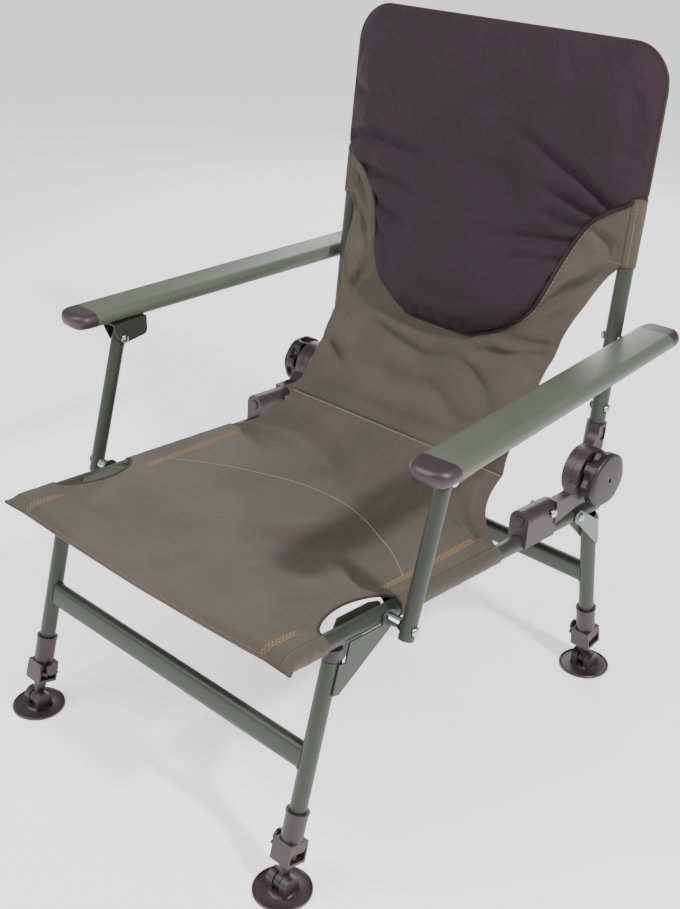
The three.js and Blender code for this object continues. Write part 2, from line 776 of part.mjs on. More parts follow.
function armrestGroup(side) {
  const group = new THREE.Group();
  group.position.set(side.sign * (armInnerFace + armWidth / 2), armBolt.y, armBolt.z);
  group.rotation.order = 'ZXY';
  group.rotation.z = side.sign * armToeDeg * degree;
  group.rotation.x = armRiseDeg * degree;

  const front = -armAheadOfBolt + armCapLength;
  const rear = armBehindBolt - armCapLength;
  const inner = -side.sign * (armWidth / 2);
  const boltHole = rodX(boreRadius, inner - overrun, inner + overrun, 0, 0, boltSides);
  boltHole.rotateZ(-side.sign * armToeDeg * degree);
  const profile = cut(
    solidOf(prismY(stadium(armWidth, armThickness), front, rear)),
    prismY(stadium(armWidth - armWall * 2, armThickness - armWall * 2), front - overrun, rear + overrun),
    boltHole,
  );
  group.add(piece(`armrest_${side.label}`, profile, 'armPaint'));

  for (const end of ['front', 'rear']) {
    group.add(armCap(side, end, end === 'front' ? front : rear));
  }
  return group;
}

// Half width or half height of a cap, as a share, on its way to the tip
function capRound(share, start) {
  const rounding = Math.max((share - start) / (1 - start), 0);
  return Math.max((1 - rounding ** armCapSquareness) ** (1 / armCapSquareness), armCapTipShare);
}

function armCap(side, end, joint) {
  const reach = armCapLength - armCapSkirt;
  const ringAt = (y, halfWidth, halfHeight) => {
    const points = [];
    for (let step = 0; step < roundSides; step += 1) {
      const angle = (Math.PI * 2 * (step + 0.5)) / roundSides;
      const straight = Math.sign(Math.cos(angle)) * Math.max(halfWidth - halfHeight, 0);
      const x = straight + Math.min(halfWidth, halfHeight) * Math.cos(angle);
      points.push(new THREE.Vector3(x, y, halfHeight * Math.sin(angle)));
    }
    return points;
  };
  const rings = [ringAt(-clearance, armWidth / 2, armThickness / 2)];
  for (let step = 0; step <= armCapSteps; step += 1) {
    const share = Math.sin((Math.PI / 2) * (step / armCapSteps));
    const halfWidth = (armWidth / 2) * capRound(share, 0);
    const halfHeight = (armThickness / 2) * capRound(share, armCapFlatShare);
    rings.push(ringAt(-armCapSkirt - reach * share, halfWidth, halfHeight));
  }
  const fitted = armWall + clearance;
  const plug = prismY(
    stadium(armWidth - fitted * 2, armThickness - fitted * 2),
    -armCapSkirt,
    armCapPlug - clearance,
  );
  const body = joined(loft(rings), plug);
  const mesh = piece(`armrest_cap_${end}_${side.label}`, body, 'blackPlastic');
  mesh.position.y = joint;
  mesh.rotation.z = end === 'front' ? 0 : Math.PI;
  return mesh;
}

function armUndersideAt(y) {
  const behind = y - armBolt.y;
  return armBolt.z + behind * Math.tan(armRiseDeg * degree) - armThickness / 2;
}

function armBracket(side) {
  const group = new THREE.Group();
  group.position.set(side.sign * postHalfWidth, postRivet.y, postRivet.z);
  group.rotation.x = armRiseDeg * degree;
  const top = armUndersideAt(postRivet.y) - postRivet.z - clearance * 1.5;
  const flange = [
    [-armBracketAhead, top],
    [-armBracketAhead, top - armBracketLug],
    ...arcPoints(0, 0, armBracketLug, ...armLugDeg, arcSteps),
    [armBracketBehind - armBracketLug, -armBracketLug / 2],
    ...arcPoints(armBracketBehind - armBracketLug, armBracketLug / 2, armBracketLug, ...armEndDeg, arcSteps),
    [armBracketBehind, top],
  ];
  const inside = postRadius + armBracketSide;
  const outside = inside + armBracketSheet;
  const web = box(-outside, outside, -armBracketAhead, armBracketBehind, top - armBracketSheet, top);
  const body = cut(
    joined(plateX(flange, inside, outside), plateX(flange, -outside, -inside), web),
    rodX(boreRadius, -outside - overrun, outside + overrun, 0, 0, boltSides),
  );
  group.add(piece(`armrest_bracket_${side.label}`, body, 'greenPaint'));

  const face = outside + clearance;
  const rivet = joined(
    rodX(boltRadius, -face - boltHeadThickness / 2, face + boltHeadThickness / 2, 0, 0, boltSides),
    rodX(boltHeadRadius, face, face + boltHeadThickness, 0, 0, boltSides),
    rodX(boltHeadRadius, -face - boltHeadThickness, -face, 0, 0, boltSides),
  );
  group.add(piece(`post_rivet_${side.label}`, rivet, 'zincSteel'));
  return group;
}

function armPost(side) {
  const reach = Math.hypot(crankSetback, crankHeight);
  const body = cut(
    solidOf(ringZ(postRadius, postRadius - postWall, -postBelow, reach + postAbove)),
    rodX(boreRadius, -postRadius - overrun, postRadius + overrun, 0, 0, boltSides),
    rodX(boreRadius, -postRadius - overrun, postRadius + overrun, 0, reach, boltSides),
  );
  const mesh = piece(`armrest_post_${side.label}`, body, 'greenPaint');
  mesh.position.set(side.sign * postHalfWidth, 0, frontPivotHeight);
  mesh.rotation.x = -Math.atan2(crankSetback, crankHeight);
  return mesh;
}

// Leg frames: every leg end has its pivot at the origin of the frame's group, and -Z runs down the leg

const legEnds = [
  {
    end: 'front',
    pivot: new THREE.Vector3(0, 0, frontPivotHeight),
    leanDeg: -frontLegLeanDeg,
    axisY: -frontLegSetback,
    crossbar: frontBarHeight,
  },
  {
    end: 'rear',
    pivot: rearPivot,
    leanDeg: rearLegLeanDeg,
    axisY: rearLegSetback,
    crossbar: rearBarHeight,
  },
];

// Depth of the ankle below the pivot, along the leg, that puts the foot flat on the floor
function ankleDepth(leg) {
  const lean = leg.leanDeg * degree;
  return (leg.pivot.z + leg.axisY * Math.sin(lean) - ankleHeight) / Math.cos(lean);
}

// Height of the seat tube's underside in the frame of a leg group, at one place along Y
function tubeUndersideInLeg(leg, y) {
  const tilt = (-seatSlopeDeg - leg.leanDeg) * degree;
  return y * Math.tan(tilt) - (tubeRadius + clearance) / Math.cos(tilt);
}

function legFrame(leg) {
  const ankle = -ankleDepth(leg);
  const top = leg.end === 'front'
    ? -frontWrapTop + clearance
    : Math.min(
      tubeUndersideInLeg(leg, leg.axisY - tubeRadius),
      tubeUndersideInLeg(leg, leg.axisY + tubeRadius),
    ) - clearance;
  const bottom = ankle + legEndHeight;
  const barZ = ankle + leg.crossbar;
  const bar = (width, height, reach) => {
    const shape = stadium(height, width);
    const options = { depth: reach * 2, bevelEnabled: false, curveSegments: armCornerSteps };
    return new THREE.ExtrudeGeometry(shape, options)
      .rotateY(Math.PI / 2)
      .translate(-reach, leg.axisY, barZ);
  };
  const innerThickness = crossbarThickness - crossbarWall * 2;
  const innerHeight = crossbarWidth - crossbarWall * 2;
  const legTube = (radius, low, high, x) => rodZ(radius, low, high, x, leg.axisY, tubeSides);
  const body = cut(
    joined(
      legTube(tubeRadius, bottom, top, seatHalfWidth),
      legTube(tubeRadius, bottom, top, -seatHalfWidth),
      bar(crossbarThickness, crossbarWidth, seatHalfWidth),
    ),
    legTube(tubeBore, bottom - overrun, top + overrun, seatHalfWidth),
    legTube(tubeBore, bottom - overrun, top + overrun, -seatHalfWidth),
    bar(innerThickness, innerHeight, seatHalfWidth - tubeBore / 2),
  );
  return piece(`${leg.end}_leg_frame`, body, 'greenPaint');
}

// A moulded plug closes the top of each front leg and bears on the seat tube

function legPlug(leg, side) {
  const top = tubeUndersideInLeg(leg, leg.axisY);
  const tilt = (-seatSlopeDeg - leg.leanDeg) * degree;
  const shoulder = -frontWrapTop + clearance * 2;
  const above = box(-tubeRadius * 2, tubeRadius * 2, -tubeRadius * 3, tubeRadius * 3, 0, tubeRadius * 3);
  above.rotateX(tilt).translate(0, 0, top);
  const body = cut(
    joined(
      rodZ(tubeRadius, shoulder, top + overrun, 0, 0, tubeSides),
      rodZ(tubeBore - clearance, shoulder - tubeRadius, shoulder + clearance, 0, 0, tubeSides),
    ),
    above,
  );
  const mesh = piece(`leg_plug_${side.label}`, body, 'blackPlastic');
  mesh.position.set(side.sign * seatHalfWidth, leg.axisY, 0);
  return mesh;
}

function frontBracketFlanges() {
  const legRear = -frontLegSetback + tubeRadius;
  const tilt = (-seatSlopeDeg - legEnds[0].leanDeg) * degree;
  const axisAt = (y) => y * Math.tan(tilt);
  const outer = [
    ...arcPoints(0, 0, frontLugRadius, ...frontLugDeg, arcSteps),
    [-frontLugRadius, axisAt(-frontLugRadius) - outerFlangeDrop],
    [legRear, axisAt(legRear) - outerFlangeDrop],
    [legRear, -frontWrapTop],
    [-frontLegSetback, -frontWrapTop],
    [-frontLegSetback, -frontWrapBottom],
    [legRear, -frontWrapBottom],
  ];
  const inner = [
    ...arcPoints(0, 0, frontLugRadius, ...innerLugDeg, arcSteps),
    [-frontLugRadius, axisAt(-frontLugRadius) + innerFlangeRise],
    [legRear, axisAt(legRear) + innerFlangeRise],
    [-frontLegSetback, -frontWrapTop],
    [-frontLegSetback, -frontWrapBottom],
    [legRear, -frontWrapBottom],
  ];
  return { outer, inner };
}

function rearBracketFlanges() {
  const flange = [
    ...arcPoints(0, 0, rearLugRadius, ...rearLugDeg, arcSteps),
    [rearLegSetback - tubeRadius, -rearWrapBottom],
    [rearLegSetback, -rearWrapBottom],
    [rearLegSetback, -rearWrapTop + bracketSheet * 2],
  ];
  return { outer: flange, inner: flange };
}

function legBracket(leg, side) {
  const front = leg.end === 'front';
  const { outer, inner } = front ? frontBracketFlanges() : rearBracketFlanges();
  const top = front ? -frontWrapTop : -rearWrapTop;
  const bottom = front ? -frontWrapBottom : -rearWrapBottom;
  const wrapAway = front ? 1 : -1;
  const wrap = cut(
    solidOf(ringZ(flangeOuter, flangeInner, bottom, top).translate(0, leg.axisY, 0)),
    box(
      -flangeOuter - overrun,
      flangeOuter + overrun,
      leg.axisY + (wrapAway > 0 ? 0 : -flangeOuter - overrun),
      leg.axisY + (wrapAway > 0 ? flangeOuter + overrun : 0),
      bottom - overrun,
      top + overrun,
    ),
  );
  const body = cut(
    wrap
      .add(solidOf(plateX(outer, ...mirrored(side, flangeInner, flangeOuter))))
      .add(solidOf(plateX(inner, ...mirrored(side, -flangeOuter, -flangeInner)))),
    rodX(boreRadius, -flangeOuter - overrun, flangeOuter + overrun, 0, 0, boltSides),
  );
  const mesh = piece(`${leg.end}_leg_bracket_${side.label}`, body, front ? 'greenPaint' : 'greyPaint');
  mesh.position.x = side.sign * seatHalfWidth;
  return mesh;
}

// Foot parts stand in a group at the ankle, with +Z up the leg

function legCollar(leg, side) {
  const outer = tubeFitRadius + collarWall;
  const block = new THREE.Shape();
  block.moveTo(-collarBlockHalfX, collarBlockBottom);
  block.lineTo(collarBlockHalfX, collarBlockBottom);
  block.lineTo(collarBlockHalfX, collarBlockTop - collarChamfer);
  block.lineTo(outer, collarBlockTop + collarChamfer);
  block.lineTo(-outer, collarBlockTop + collarChamfer);
  block.lineTo(-collarBlockHalfX, collarBlockTop - collarChamfer);
  const body = cut(
    joined(
      rodZ(outer, collarBlockBottom + overrun, collarTop, 0, 0, tubeSides),
      prismY(block, -collarBlockHalfY, collarBlockHalfY),
    ),
    rodZ(tubeFitRadius, legEndHeight - clearance, collarTop + overrun, 0, 0, tubeSides),
    rodZ(innerLegRadius + clearance, collarBlockBottom - overrun, legEndHeight, 0, 0, tubeSides),
    box(
      -collarBlockHalfX - overrun,
      collarBlockHalfX + overrun,
      -slotHalfWidth,
      slotHalfWidth,
      slotBottom,
      slotTop,
    ),
  );
  return piece(`${leg.end}_collar_${side.label}`, body, 'blackPlastic');
}

function legLever(leg, side) {
  const inward = -side.sign;
  const high = slotTop - leverHeadroom;
  const low = high - leverThickness;
  const span = (near, far) => (inward > 0 ? [near, far] : [-far, -near]);
  const half = slotHalfWidth - clearance * 2;
  const body = cut(
    joined(
      box(...span(-leverOutside, leverTab), -half, half, low, high),
      rodX(leverTabRadius, ...span(leverTab - leverTabThickness, leverTab), 0, leverTabHeight),
    ),
    rodZ(innerLegRadius + leverHoleGap, low - overrun, high + overrun, 0, 0, tubeSides),
  );
  return piece(`${leg.end}_lever_${side.label}`, body, 'blackPlastic');
}

function innerLeg(leg, side) {
  const neckTop = cheekRadius + clearance * 2;
  const boreSpan = [neckTop + innerLegWall * 2, innerLegLength + overrun];
  const body = cut(
    joined(
      rodX(eyeRadius, -eyeHalfWidth, eyeHalfWidth, 0, 0, tubeSides),
      box(-eyeHalfWidth, eyeHalfWidth, -eyeRadius / 2, eyeRadius / 2, 0, neckTop + innerLegWall),
      rodZ(innerLegRadius, neckTop, innerLegLength, 0, 0, tubeSides),
    ),
    rodX(boreRadius, -eyeRadius - overrun, eyeRadius + overrun, 0, 0, boltSides),
    rodZ(innerLegRadius - innerLegWall, ...boreSpan, 0, 0, tubeSides),
  );
  return piece(`${leg.end}_inner_leg_${side.label}`, body, 'blackPaint');
}

function footDisc(leg, side) {
  const profile = [
    [0, 0],
    [footRadius, 0],
    [footRadius, footThickness],
    [footRadius - footRim, footThickness + footRim / 2],
    [footRadius - footRim * 2, footThickness],
    [footHubRadius + footHubHeight, footThickness],
    [footHubRadius, footThickness + footHubHeight],
    [0, footThickness + footHubHeight],
  ];
  const disc = new THREE.LatheGeometry(profile.map(([r, z]) => new THREE.Vector2(r, z)), tubeSides);
  disc.rotateX(Math.PI / 2).translate(0, 0, -ankleHeight);
  const cheekLow = eyeHalfWidth + clearance * 2;
  const cheekHigh = cheekLow + cheekWidth;
  const cheeks = [1, -1].flatMap((sign) => {
    const span = sign > 0 ? [cheekLow, cheekHigh] : [-cheekHigh, -cheekLow];
    return [
      rodX(cheekRadius, ...span, 0, 0, tubeSides),
      box(...span, -cheekRadius, cheekRadius, footThickness / 2 - ankleHeight, 0),
    ];
  });
  const pin = rodX(boltRadius, -cheekHigh + clearance, cheekHigh - clearance, 0, 0, boltSides);
  const eyeRoom = rodX(eyeRadius + clearance, -cheekLow, cheekLow, 0, 0, tubeSides);
  const body = cut(joined(disc, ...cheeks), eyeRoom).add(solidOf(pin));
  return piece(`${leg.end}_foot_${side.label}`, body, 'blackPlastic');
}

function footGroup(leg, side) {
  const group = new THREE.Group();
  group.position.set(side.sign * seatHalfWidth, leg.axisY, -ankleDepth(leg));
  group.add(legCollar(leg, side), legLever(leg, side), innerLeg(leg, side));
  const foot = footDisc(leg, side);
  foot.rotation.x = -leg.leanDeg * degree;
  group.add(foot);
  return group;
}

function legGroup(leg) {
  const group = new THREE.Group();
  group.position.copy(leg.pivot);
  group.rotation.x = leg.leanDeg * degree;
  group.add(legFrame(leg));
  for (const side of sides) {
    group.add(legBracket(leg, side), footGroup(leg, side));
    if (leg.end === 'front') group.add(legPlug(leg, side));
  }
  return group;
}

// Seat cloth: a sagging sheet with sleeves round the seat tubes and a scooped gap at the front pivots
const sleeveInner = tubeRadius + clothSlack;
const sleeveOuter = sleeveInner + clothThickness;
const sleeveTop = (sleeveInner + sleeveOuter) / 2;
const hemFront = -(seatTubeAhead + hemAhead);

// Share of the way from the ends of the rear sleeves to the seat seam
function rearShareAt(along) {
  return Math.min(Math.max((along - rearSleeveEnd) / (seamAlong - rearSleeveEnd), 0), 1);
}

function seatHalfWidthAt(along) {
  const scoop = (along + frontSleeveEnd) / (rearSleeveStart + frontSleeveEnd);
  if (scoop > 0 && scoop < 1) {
    return seatHalfWidth - sleeveCutDepth * Math.sqrt(Math.sin(Math.PI * scoop));
  }
  return seatHalfWidth - (seatHalfWidth - seamHalfWidth) * (1 - (1 - rearShareAt(along)) ** 3);
}

function seatHeightAt(x, along) {
  const edge = sleeveTop + (seamRise - sleeveTop) * rearShareAt(along);
  const middle = throughStations(
    [
      [hemFront, sleeveTop - seatHemSag],
      [-frontSleeveEnd, sleeveTop - (seatHemSag + seatDeepSag) / 2],
      [rearSleeveStart, sleeveTop - seatDeepSag],
      [(rearSleeveStart + rearSleeveEnd) / 2, sleeveTop - seatHemSag],
      [rearSleeveEnd, sleeveTop + seamRise * rearRiseShare],
      [seamAlong, seamRise],
    ],
    along,
  );
  const share = 1 - (x / seatHalfWidthAt(along)) ** 2;
  return edge + (middle - edge) * Math.max(share, 0);
}

function seatCover() {
  const rear = seamAlong - clearance;
  const place = (u, v) => {
    const along = hemFront + (rear - hemFront) * v;
    const x = seatHalfWidthAt(along) * (2 * u - 1);
    return new THREE.Vector3(x, along, seatHeightAt(x, along));
  };
  const sleeves = sides.flatMap((side) => [
    ringY(sleeveOuter, sleeveInner, hemFront, -frontSleeveEnd).translate(side.sign * seatHalfWidth, 0, 0),
    ringY(sleeveOuter, sleeveInner, rearSleeveStart, rearSleeveEnd)
      .translate(side.sign * seatHalfWidth, 0, 0),
  ]);
  const body = joined(sheet(place, ...seatCells, clothThickness), ...sleeves);
  return piece('seat_cover', body, 'oliveCloth');
}

// Back cloth, in the back group's frame: the sling rises from the seat seam to the panel on the tubes
const panelFront = backTubeSetback - sleeveOuter;
const panelMiddle = panelFront + clothThickness / 2;
const seamInBack = backGroup.worldToLocal(
  seatGroup.localToWorld(new THREE.Vector3(0, seamAlong, seamRise)),
);
const panelHalfWidth = backHalfWidth - tubeRadius - padSleeveWall - clothPanelGap;

// How far the cloth lies in front of the back tubes, as shares of the way from the seam to the panel
const slingPlaceShares = [0, 0.085, 0.43, 0.54, 0.65, 0.77, 1];
const slingForwardShares = [1, 0.89, 0.47, 0.36, 0.336, 0.31, 0.12];
const slingWidthShares = [0, -0.21, -0.25, -0.1, 0.06, 0.38, 1];

function slingStation(shares, height) {
  const place = (height - seamInBack.z) / (wrapBottom - seamInBack.z);
  return throughStations(slingPlaceShares.map((share, index) => [share, shares[index]]), place);
}

function backForwardAt(height) {
  const reach = panelMiddle - seamInBack.y;
  const sling = slingStation(slingForwardShares, height);
  const settled = 1 - smooth(wrapBottom, padBoundary, height);
  return panelMiddle - reach * sling * (height > wrapBottom ? settled : 1);
}

function slingHalfWidthAt(height) {
  return seamHalfWidth + (panelHalfWidth - seamHalfWidth) * slingStation(slingWidthShares, height);
}

function clothFold(x, height) {
  const across = (x / seamHalfWidth) * foldsAcrossHalf + height / foldPitch;
  const fade = smooth(seamInBack.z, foldPitch, height) * (1 - smooth(padBottom, wrapBottom, height));
  return foldDepth * Math.sin(across * Math.PI) * fade;
}

// Middle surface of the cloth over the whole back; it meets the tubes' front at both edges
function backSurfaceAt(x, height) {
  const middle = backForwardAt(height);
  const outward = Math.min(Math.abs(x / panelHalfWidth), 1) ** panelEdgePower;
  const toEdge = outward * smooth(padBottom, wrapBottom, height);
  return middle + (panelMiddle - middle) * toEdge + clothFold(x, height);
}

function slingPlace(u, v) {
  const low = seamInBack.z + clothThickness / 2;
  const high = wrapBottom - clearance / 2;
  const height = low + (high - low) * v;
  const x = slingHalfWidthAt(height) * (2 * u - 1);
  return new THREE.Vector3(x, backSurfaceAt(x, height), height);
}

function backSling() {
  return piece('back_sling', solidOf(sheet(slingPlace, ...slingCells, clothThickness)), 'oliveCloth');
}

function panelPlace(u, v) {
  const low = wrapBottom + clearance / 2;
  const high = backTop - tubeRadius - padSleeveWall - clothPanelGap;
  const height = low + (high - low) * v;
  const narrowing = smooth(high - backCornerRadius, high, height) * panelCornerTrim;
  const x = (panelHalfWidth - narrowing) * (2 * u - 1);
  return new THREE.Vector3(x, backSurfaceAt(x, height), height);
}

function backCover() {
  const low = wrapBottom + clearance / 2;
  const sleeveTopEnd = padBoundary - clearance;
  const parts = [sheet(panelPlace, ...panelCells, clothThickness)];
  for (const side of sides) {
    const x = side.sign * backHalfWidth;
    const [webLow, webHigh] = mirrored(side, panelHalfWidth - clothPanelGap * 2, backHalfWidth);
    parts.push(ringZ(sleeveOuter, sleeveInner, low, sleeveTopEnd).translate(x, backTubeSetback, 0));
    parts.push(box(webLow, webHigh, panelFront, panelFront + clothThickness, low, sleeveTopEnd));
  }
  const body = cut(
    joined(...parts),
    ...sides.map((side) => rodZ(
      sleeveInner,
      low - overrun,
      padBoundary + overrun,
      side.sign * backHalfWidth,
      backTubeSetback,
      tubeSides,
    )),
  );
  return piece('back_cover', body, 'oliveCloth');
}

// Head pad: a crowned pad with a bowl-shaped lower edge, and a sleeve over the top of the frame

function padHalfWidthAt(height) {
  const bowl = Math.min(Math.max((height - padBottom) / (padBowlTop - padBottom), 0), 1);
  const flare = Math.min(Math.max((height - padBowlTop) / (padShoulder - padBowlTop), 0), 1);
  const lower = padBowlHalfWidth * Math.sqrt(1 - (1 - bowl) ** 2)
    + (padShoulderHalfWidth - padBowlHalfWidth) * flare;
  const full = backHalfWidth;
  const spread = smooth(padShoulder, padBoundary, height);
  const pastCorner = Math.max(height - backTop + backCornerRadius, 0);
  const cornerReach = Math.sqrt(Math.max(backCornerRadius ** 2 - pastCorner ** 2, 0));
  const shoulder = backCornerRadius - cornerReach;
  return lower + (full - lower) * spread - shoulder + clothThickness;
}

function headPad() {
  const frontOfCloth = clothThickness / 2 + clearance;
  const low = padBottom;
  const high = backTop;
  const place = (u, v) => {
    const height = low + (high - low) * v;
    const x = padHalfWidthAt(height) * (2 * u - 1);
    return new THREE.Vector3(x, backSurfaceAt(x, height) - frontOfCloth, height);
  };
  const behind = (u, v, side) => (side > 0 ? frontOfCloth : crankSetback);
  const crown = (u, v, side) => {
    if (side < 0) return 0;
    const across = (4 * u * (1 - u)) ** padAcrossPower;
    const along = (4 * v * (1 - v)) ** padAlongPower;
    return padEdge + padCrown * across * along;
  };
  const foot = padBoundary + clearance;
  const cornerX = backHalfWidth - backCornerRadius;
  const cornerZ = backTop - backCornerRadius;
  const points = [new THREE.Vector3(backHalfWidth, backTubeSetback, foot)];
  for (let step = 0; step <= backCornerSteps; step += 1) {
    const angle = ((Math.PI / 2) * step) / backCornerSteps;
    const x = cornerX + backCornerRadius * Math.cos(angle);
    points.push(new THREE.Vector3(x, backTubeSetback, cornerZ + backCornerRadius * Math.sin(angle)));
  }
  const otherHalf = points.map((point) => new THREE.Vector3(-point.x, point.y, point.z)).reverse();
  const sleeve = tubeAlong([...points, ...otherHalf], sleeveInner + padSleeveWall, sleeveInner);
  const pad = cut(
    solidOf(sheet(place, ...padCells, crown)),
    sheet(slingPlace, ...slingCells, behind),
    sheet(panelPlace, ...panelCells, behind),
  );
  const body = pad.add(solidOf(sleeve));
  return piece('head_pad', body, 'blackCloth');
}

// Assembly

for (const side of sides) {
  seatGroup.add(seatTube(side), lowerArm(side), saddleScrew(side));
  seatGroup.add(frontPivotBolt(side), rearPivotRivet(side));
  backGroup.add(upperArm(side), socketBolt(side), armrestBolt(side));
  chair.add(reclineKnob(side), armrestGroup(side), armBracket(side), armPost(side));
}
seatGroup.add(seatCover());
backGroup.add(backFrame(), backCover(), backSling(), headPad());
for (const leg of legEnds) chair.add(legGroup(leg));

// The origin is the middle of the chair's outline on the floor
chair.updateMatrixWorld(true);
const outline = new THREE.Box3().setFromObject(chair, true);
chair.position.y = -(outline.min.y + outline.max.y) / 2;

export default chair;
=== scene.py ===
import json
import math

import bmesh
import bpy
import numpy as np
from mathutils import Matrix, Vector, noise


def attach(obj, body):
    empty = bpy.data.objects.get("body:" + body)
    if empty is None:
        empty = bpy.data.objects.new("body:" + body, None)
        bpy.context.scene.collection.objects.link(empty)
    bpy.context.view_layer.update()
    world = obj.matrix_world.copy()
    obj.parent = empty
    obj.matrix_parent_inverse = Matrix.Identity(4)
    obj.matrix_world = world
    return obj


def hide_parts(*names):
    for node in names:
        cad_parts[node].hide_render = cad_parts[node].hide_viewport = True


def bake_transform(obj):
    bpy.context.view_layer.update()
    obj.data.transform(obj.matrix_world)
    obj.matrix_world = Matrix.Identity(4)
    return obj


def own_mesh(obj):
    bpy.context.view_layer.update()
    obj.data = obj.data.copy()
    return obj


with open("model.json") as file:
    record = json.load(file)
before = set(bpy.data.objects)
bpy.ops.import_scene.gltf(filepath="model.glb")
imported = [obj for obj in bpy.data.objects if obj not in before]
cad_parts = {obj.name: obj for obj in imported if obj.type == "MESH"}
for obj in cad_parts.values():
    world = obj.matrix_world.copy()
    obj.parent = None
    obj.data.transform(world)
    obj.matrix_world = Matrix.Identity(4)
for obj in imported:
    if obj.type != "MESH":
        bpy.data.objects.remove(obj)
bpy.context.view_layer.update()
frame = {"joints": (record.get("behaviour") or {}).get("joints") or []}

# Studio
# A white sweep of paper under large soft lamps, as in a catalogue photograph. The camera stands
# in front of the sitter's left knee, a little above the back's top edge.

MM = 0.001
joints = {joint["name"]: joint for joint in frame["joints"]}
FRONT_PIVOT = Vector(joints["front_legs_fold"]["pos_m"])
SENSOR = 36.0
FRAME_LONG_SIDE = 909
FOCAL_PIXELS = 1286.7
CAMERA_FROM_FRONT_PIVOT = Vector((984.5, -879.6, 784.4)) * MM
CAMERA_AZIMUTH = math.radians(43.2)
CAMERA_ELEVATION = math.radians(27.5)
CAMERA_ROLL = math.radians(1.1)
CENTRE_SHIFT = (4.9, 8.4)


def linear(hex_text):
    """The linear colour of an sRGB hex value."""
    levels = [int(hex_text[place : place + 2], 16) / 255 for place in (1, 3, 5)]
    return tuple(v / 12.92 if v <= 0.04045 else ((v + 0.055) / 1.055) ** 2.4 for v in levels) + (1.0,)


def add_node(tree, kind, settings=None, inputs=None):
    """Adds a shader node. An input takes a value, or the output socket to link to it."""
    made = tree.nodes.new(kind)
    for name, value in (settings or {}).items():
        setattr(made, name, value)
    for name, value in (inputs or {}).items():
        if isinstance(value, bpy.types.NodeSocket):
            tree.links.new(value, made.inputs[name])
        else:
            made.inputs[name].default_value = value
    return made


def start_material(name):
    """An empty material with its output node."""
    made = bpy.data.materials.new(name)
    made.use_nodes = True
    made.node_tree.nodes.clear()
    output = add_node(made.node_tree, "ShaderNodeOutputMaterial")
    return made, made.node_tree, output


camera = bpy.data.objects.new("camera", bpy.data.cameras.new("camera"))
bpy.context.scene.collection.objects.link(camera)
camera.data.sensor_width = SENSOR
camera.data.lens = FOCAL_PIXELS * SENSOR / FRAME_LONG_SIDE
camera.data.shift_x = CENTRE_SHIFT[0] / FRAME_LONG_SIDE
camera.data.shift_y = CENTRE_SHIFT[1] / FRAME_LONG_SIDE
toward_camera = Vector(
    (
        math.sin(CAMERA_AZIMUTH) * math.cos(CAMERA_ELEVATION),
        -math.cos(CAMERA_AZIMUTH) * math.cos(CAMERA_ELEVATION),
        math.sin(CAMERA_ELEVATION),
    )
)
level_right = Vector((math.cos(CAMERA_AZIMUTH), math.sin(CAMERA_AZIMUTH), 0))
level_up = toward_camera.cross(level_right)
camera_right = level_right * math.cos(CAMERA_ROLL) + level_up * math.sin(CAMERA_ROLL)
camera_up = level_up * math.cos(CAMERA_ROLL) - level_right * math.sin(CAMERA_ROLL)
camera.matrix_world = Matrix.Translation(FRONT_PIVOT + CAMERA_FROM_FRONT_PIVOT) @ Matrix(
    (camera_right, camera_up, toward_camera)
).transposed().to_4x4()
bpy.context.scene.camera = camera

FLOOR_HALF = 40.0
FLOOR_COLOUR = "#FFFFFF"
FLOOR_GLOW = 0.8
SKY_COLOUR = "#FBFCFF"
SKY_STRENGTH = 0.42

floor_mesh = bpy.data.meshes.new("floor")
floor_corners = [(x * FLOOR_HALF, y * FLOOR_HALF, 0) for x, y in ((-1, -1), (1, -1), (1, 1), (-1, 1))]
floor_mesh.from_pydata(floor_corners, [], [(0, 1, 2, 3)])
floor = bpy.data.objects.new("floor", floor_mesh)
bpy.context.scene.collection.objects.link(floor)
paper, tree, output = start_material("backlit_white_studio_paper")
shader = add_node(
    tree,
    "ShaderNodeBsdfPrincipled",
    None,
    {
        "Base Color": linear(FLOOR_COLOUR),
        "Roughness": 0.95,
        "Emission Color": linear(FLOOR_COLOUR),
        "Emission Strength": FLOOR_GLOW,
    },
)
tree.links.new(shader.outputs["BSDF"], output.inputs["Surface"])
floor_mesh.materials.append(paper)

world = bpy.data.worlds.new("studio_walls")
bpy.context.scene.world = world
world.use_nodes = True
walls = world.node_tree.nodes["Background"]
walls.inputs["Color"].default_value = linear(SKY_COLOUR)
walls.inputs["Strength"].default_value = SKY_STRENGTH

# Each lamp: name, place and size in metres, and power in watts; all aim at the middle of the chair
LAMPS = (
    ("overhead_softbox", (-0.35, -1.2, 2.0), 1.0, 24),
    ("left_softbox", (-1.6, -2.2, 1.9), 1.1, 26),
    ("right_lamp", (1.75, -0.2, 1.95), 0.15, 52),
    ("rear_softbox", (-1.5, 2.2, 1.4), 1.3, 26),
)
CHAIR_MIDDLE = Vector((0, 0, 0.42))

for name, place, size, power in LAMPS:
    lamp = bpy.data.objects.new(name, bpy.data.lights.new(name, "AREA"))
    lamp.data.size = size
    lamp.data.energy = power
    lamp.location = place
    lamp.rotation_euler = (CHAIR_MIDDLE - Vector(place)).to_track_quat("-Z", "Y").to_euler()
    bpy.context.scene.collection.objects.link(lamp)

# Painted steel frame
# Welded 20 mm round steel tube with thin walls, bent with a tube bender and powder-coated in a
# dark grey-green that has a low gloss. Lengths here and below are in millimetres.

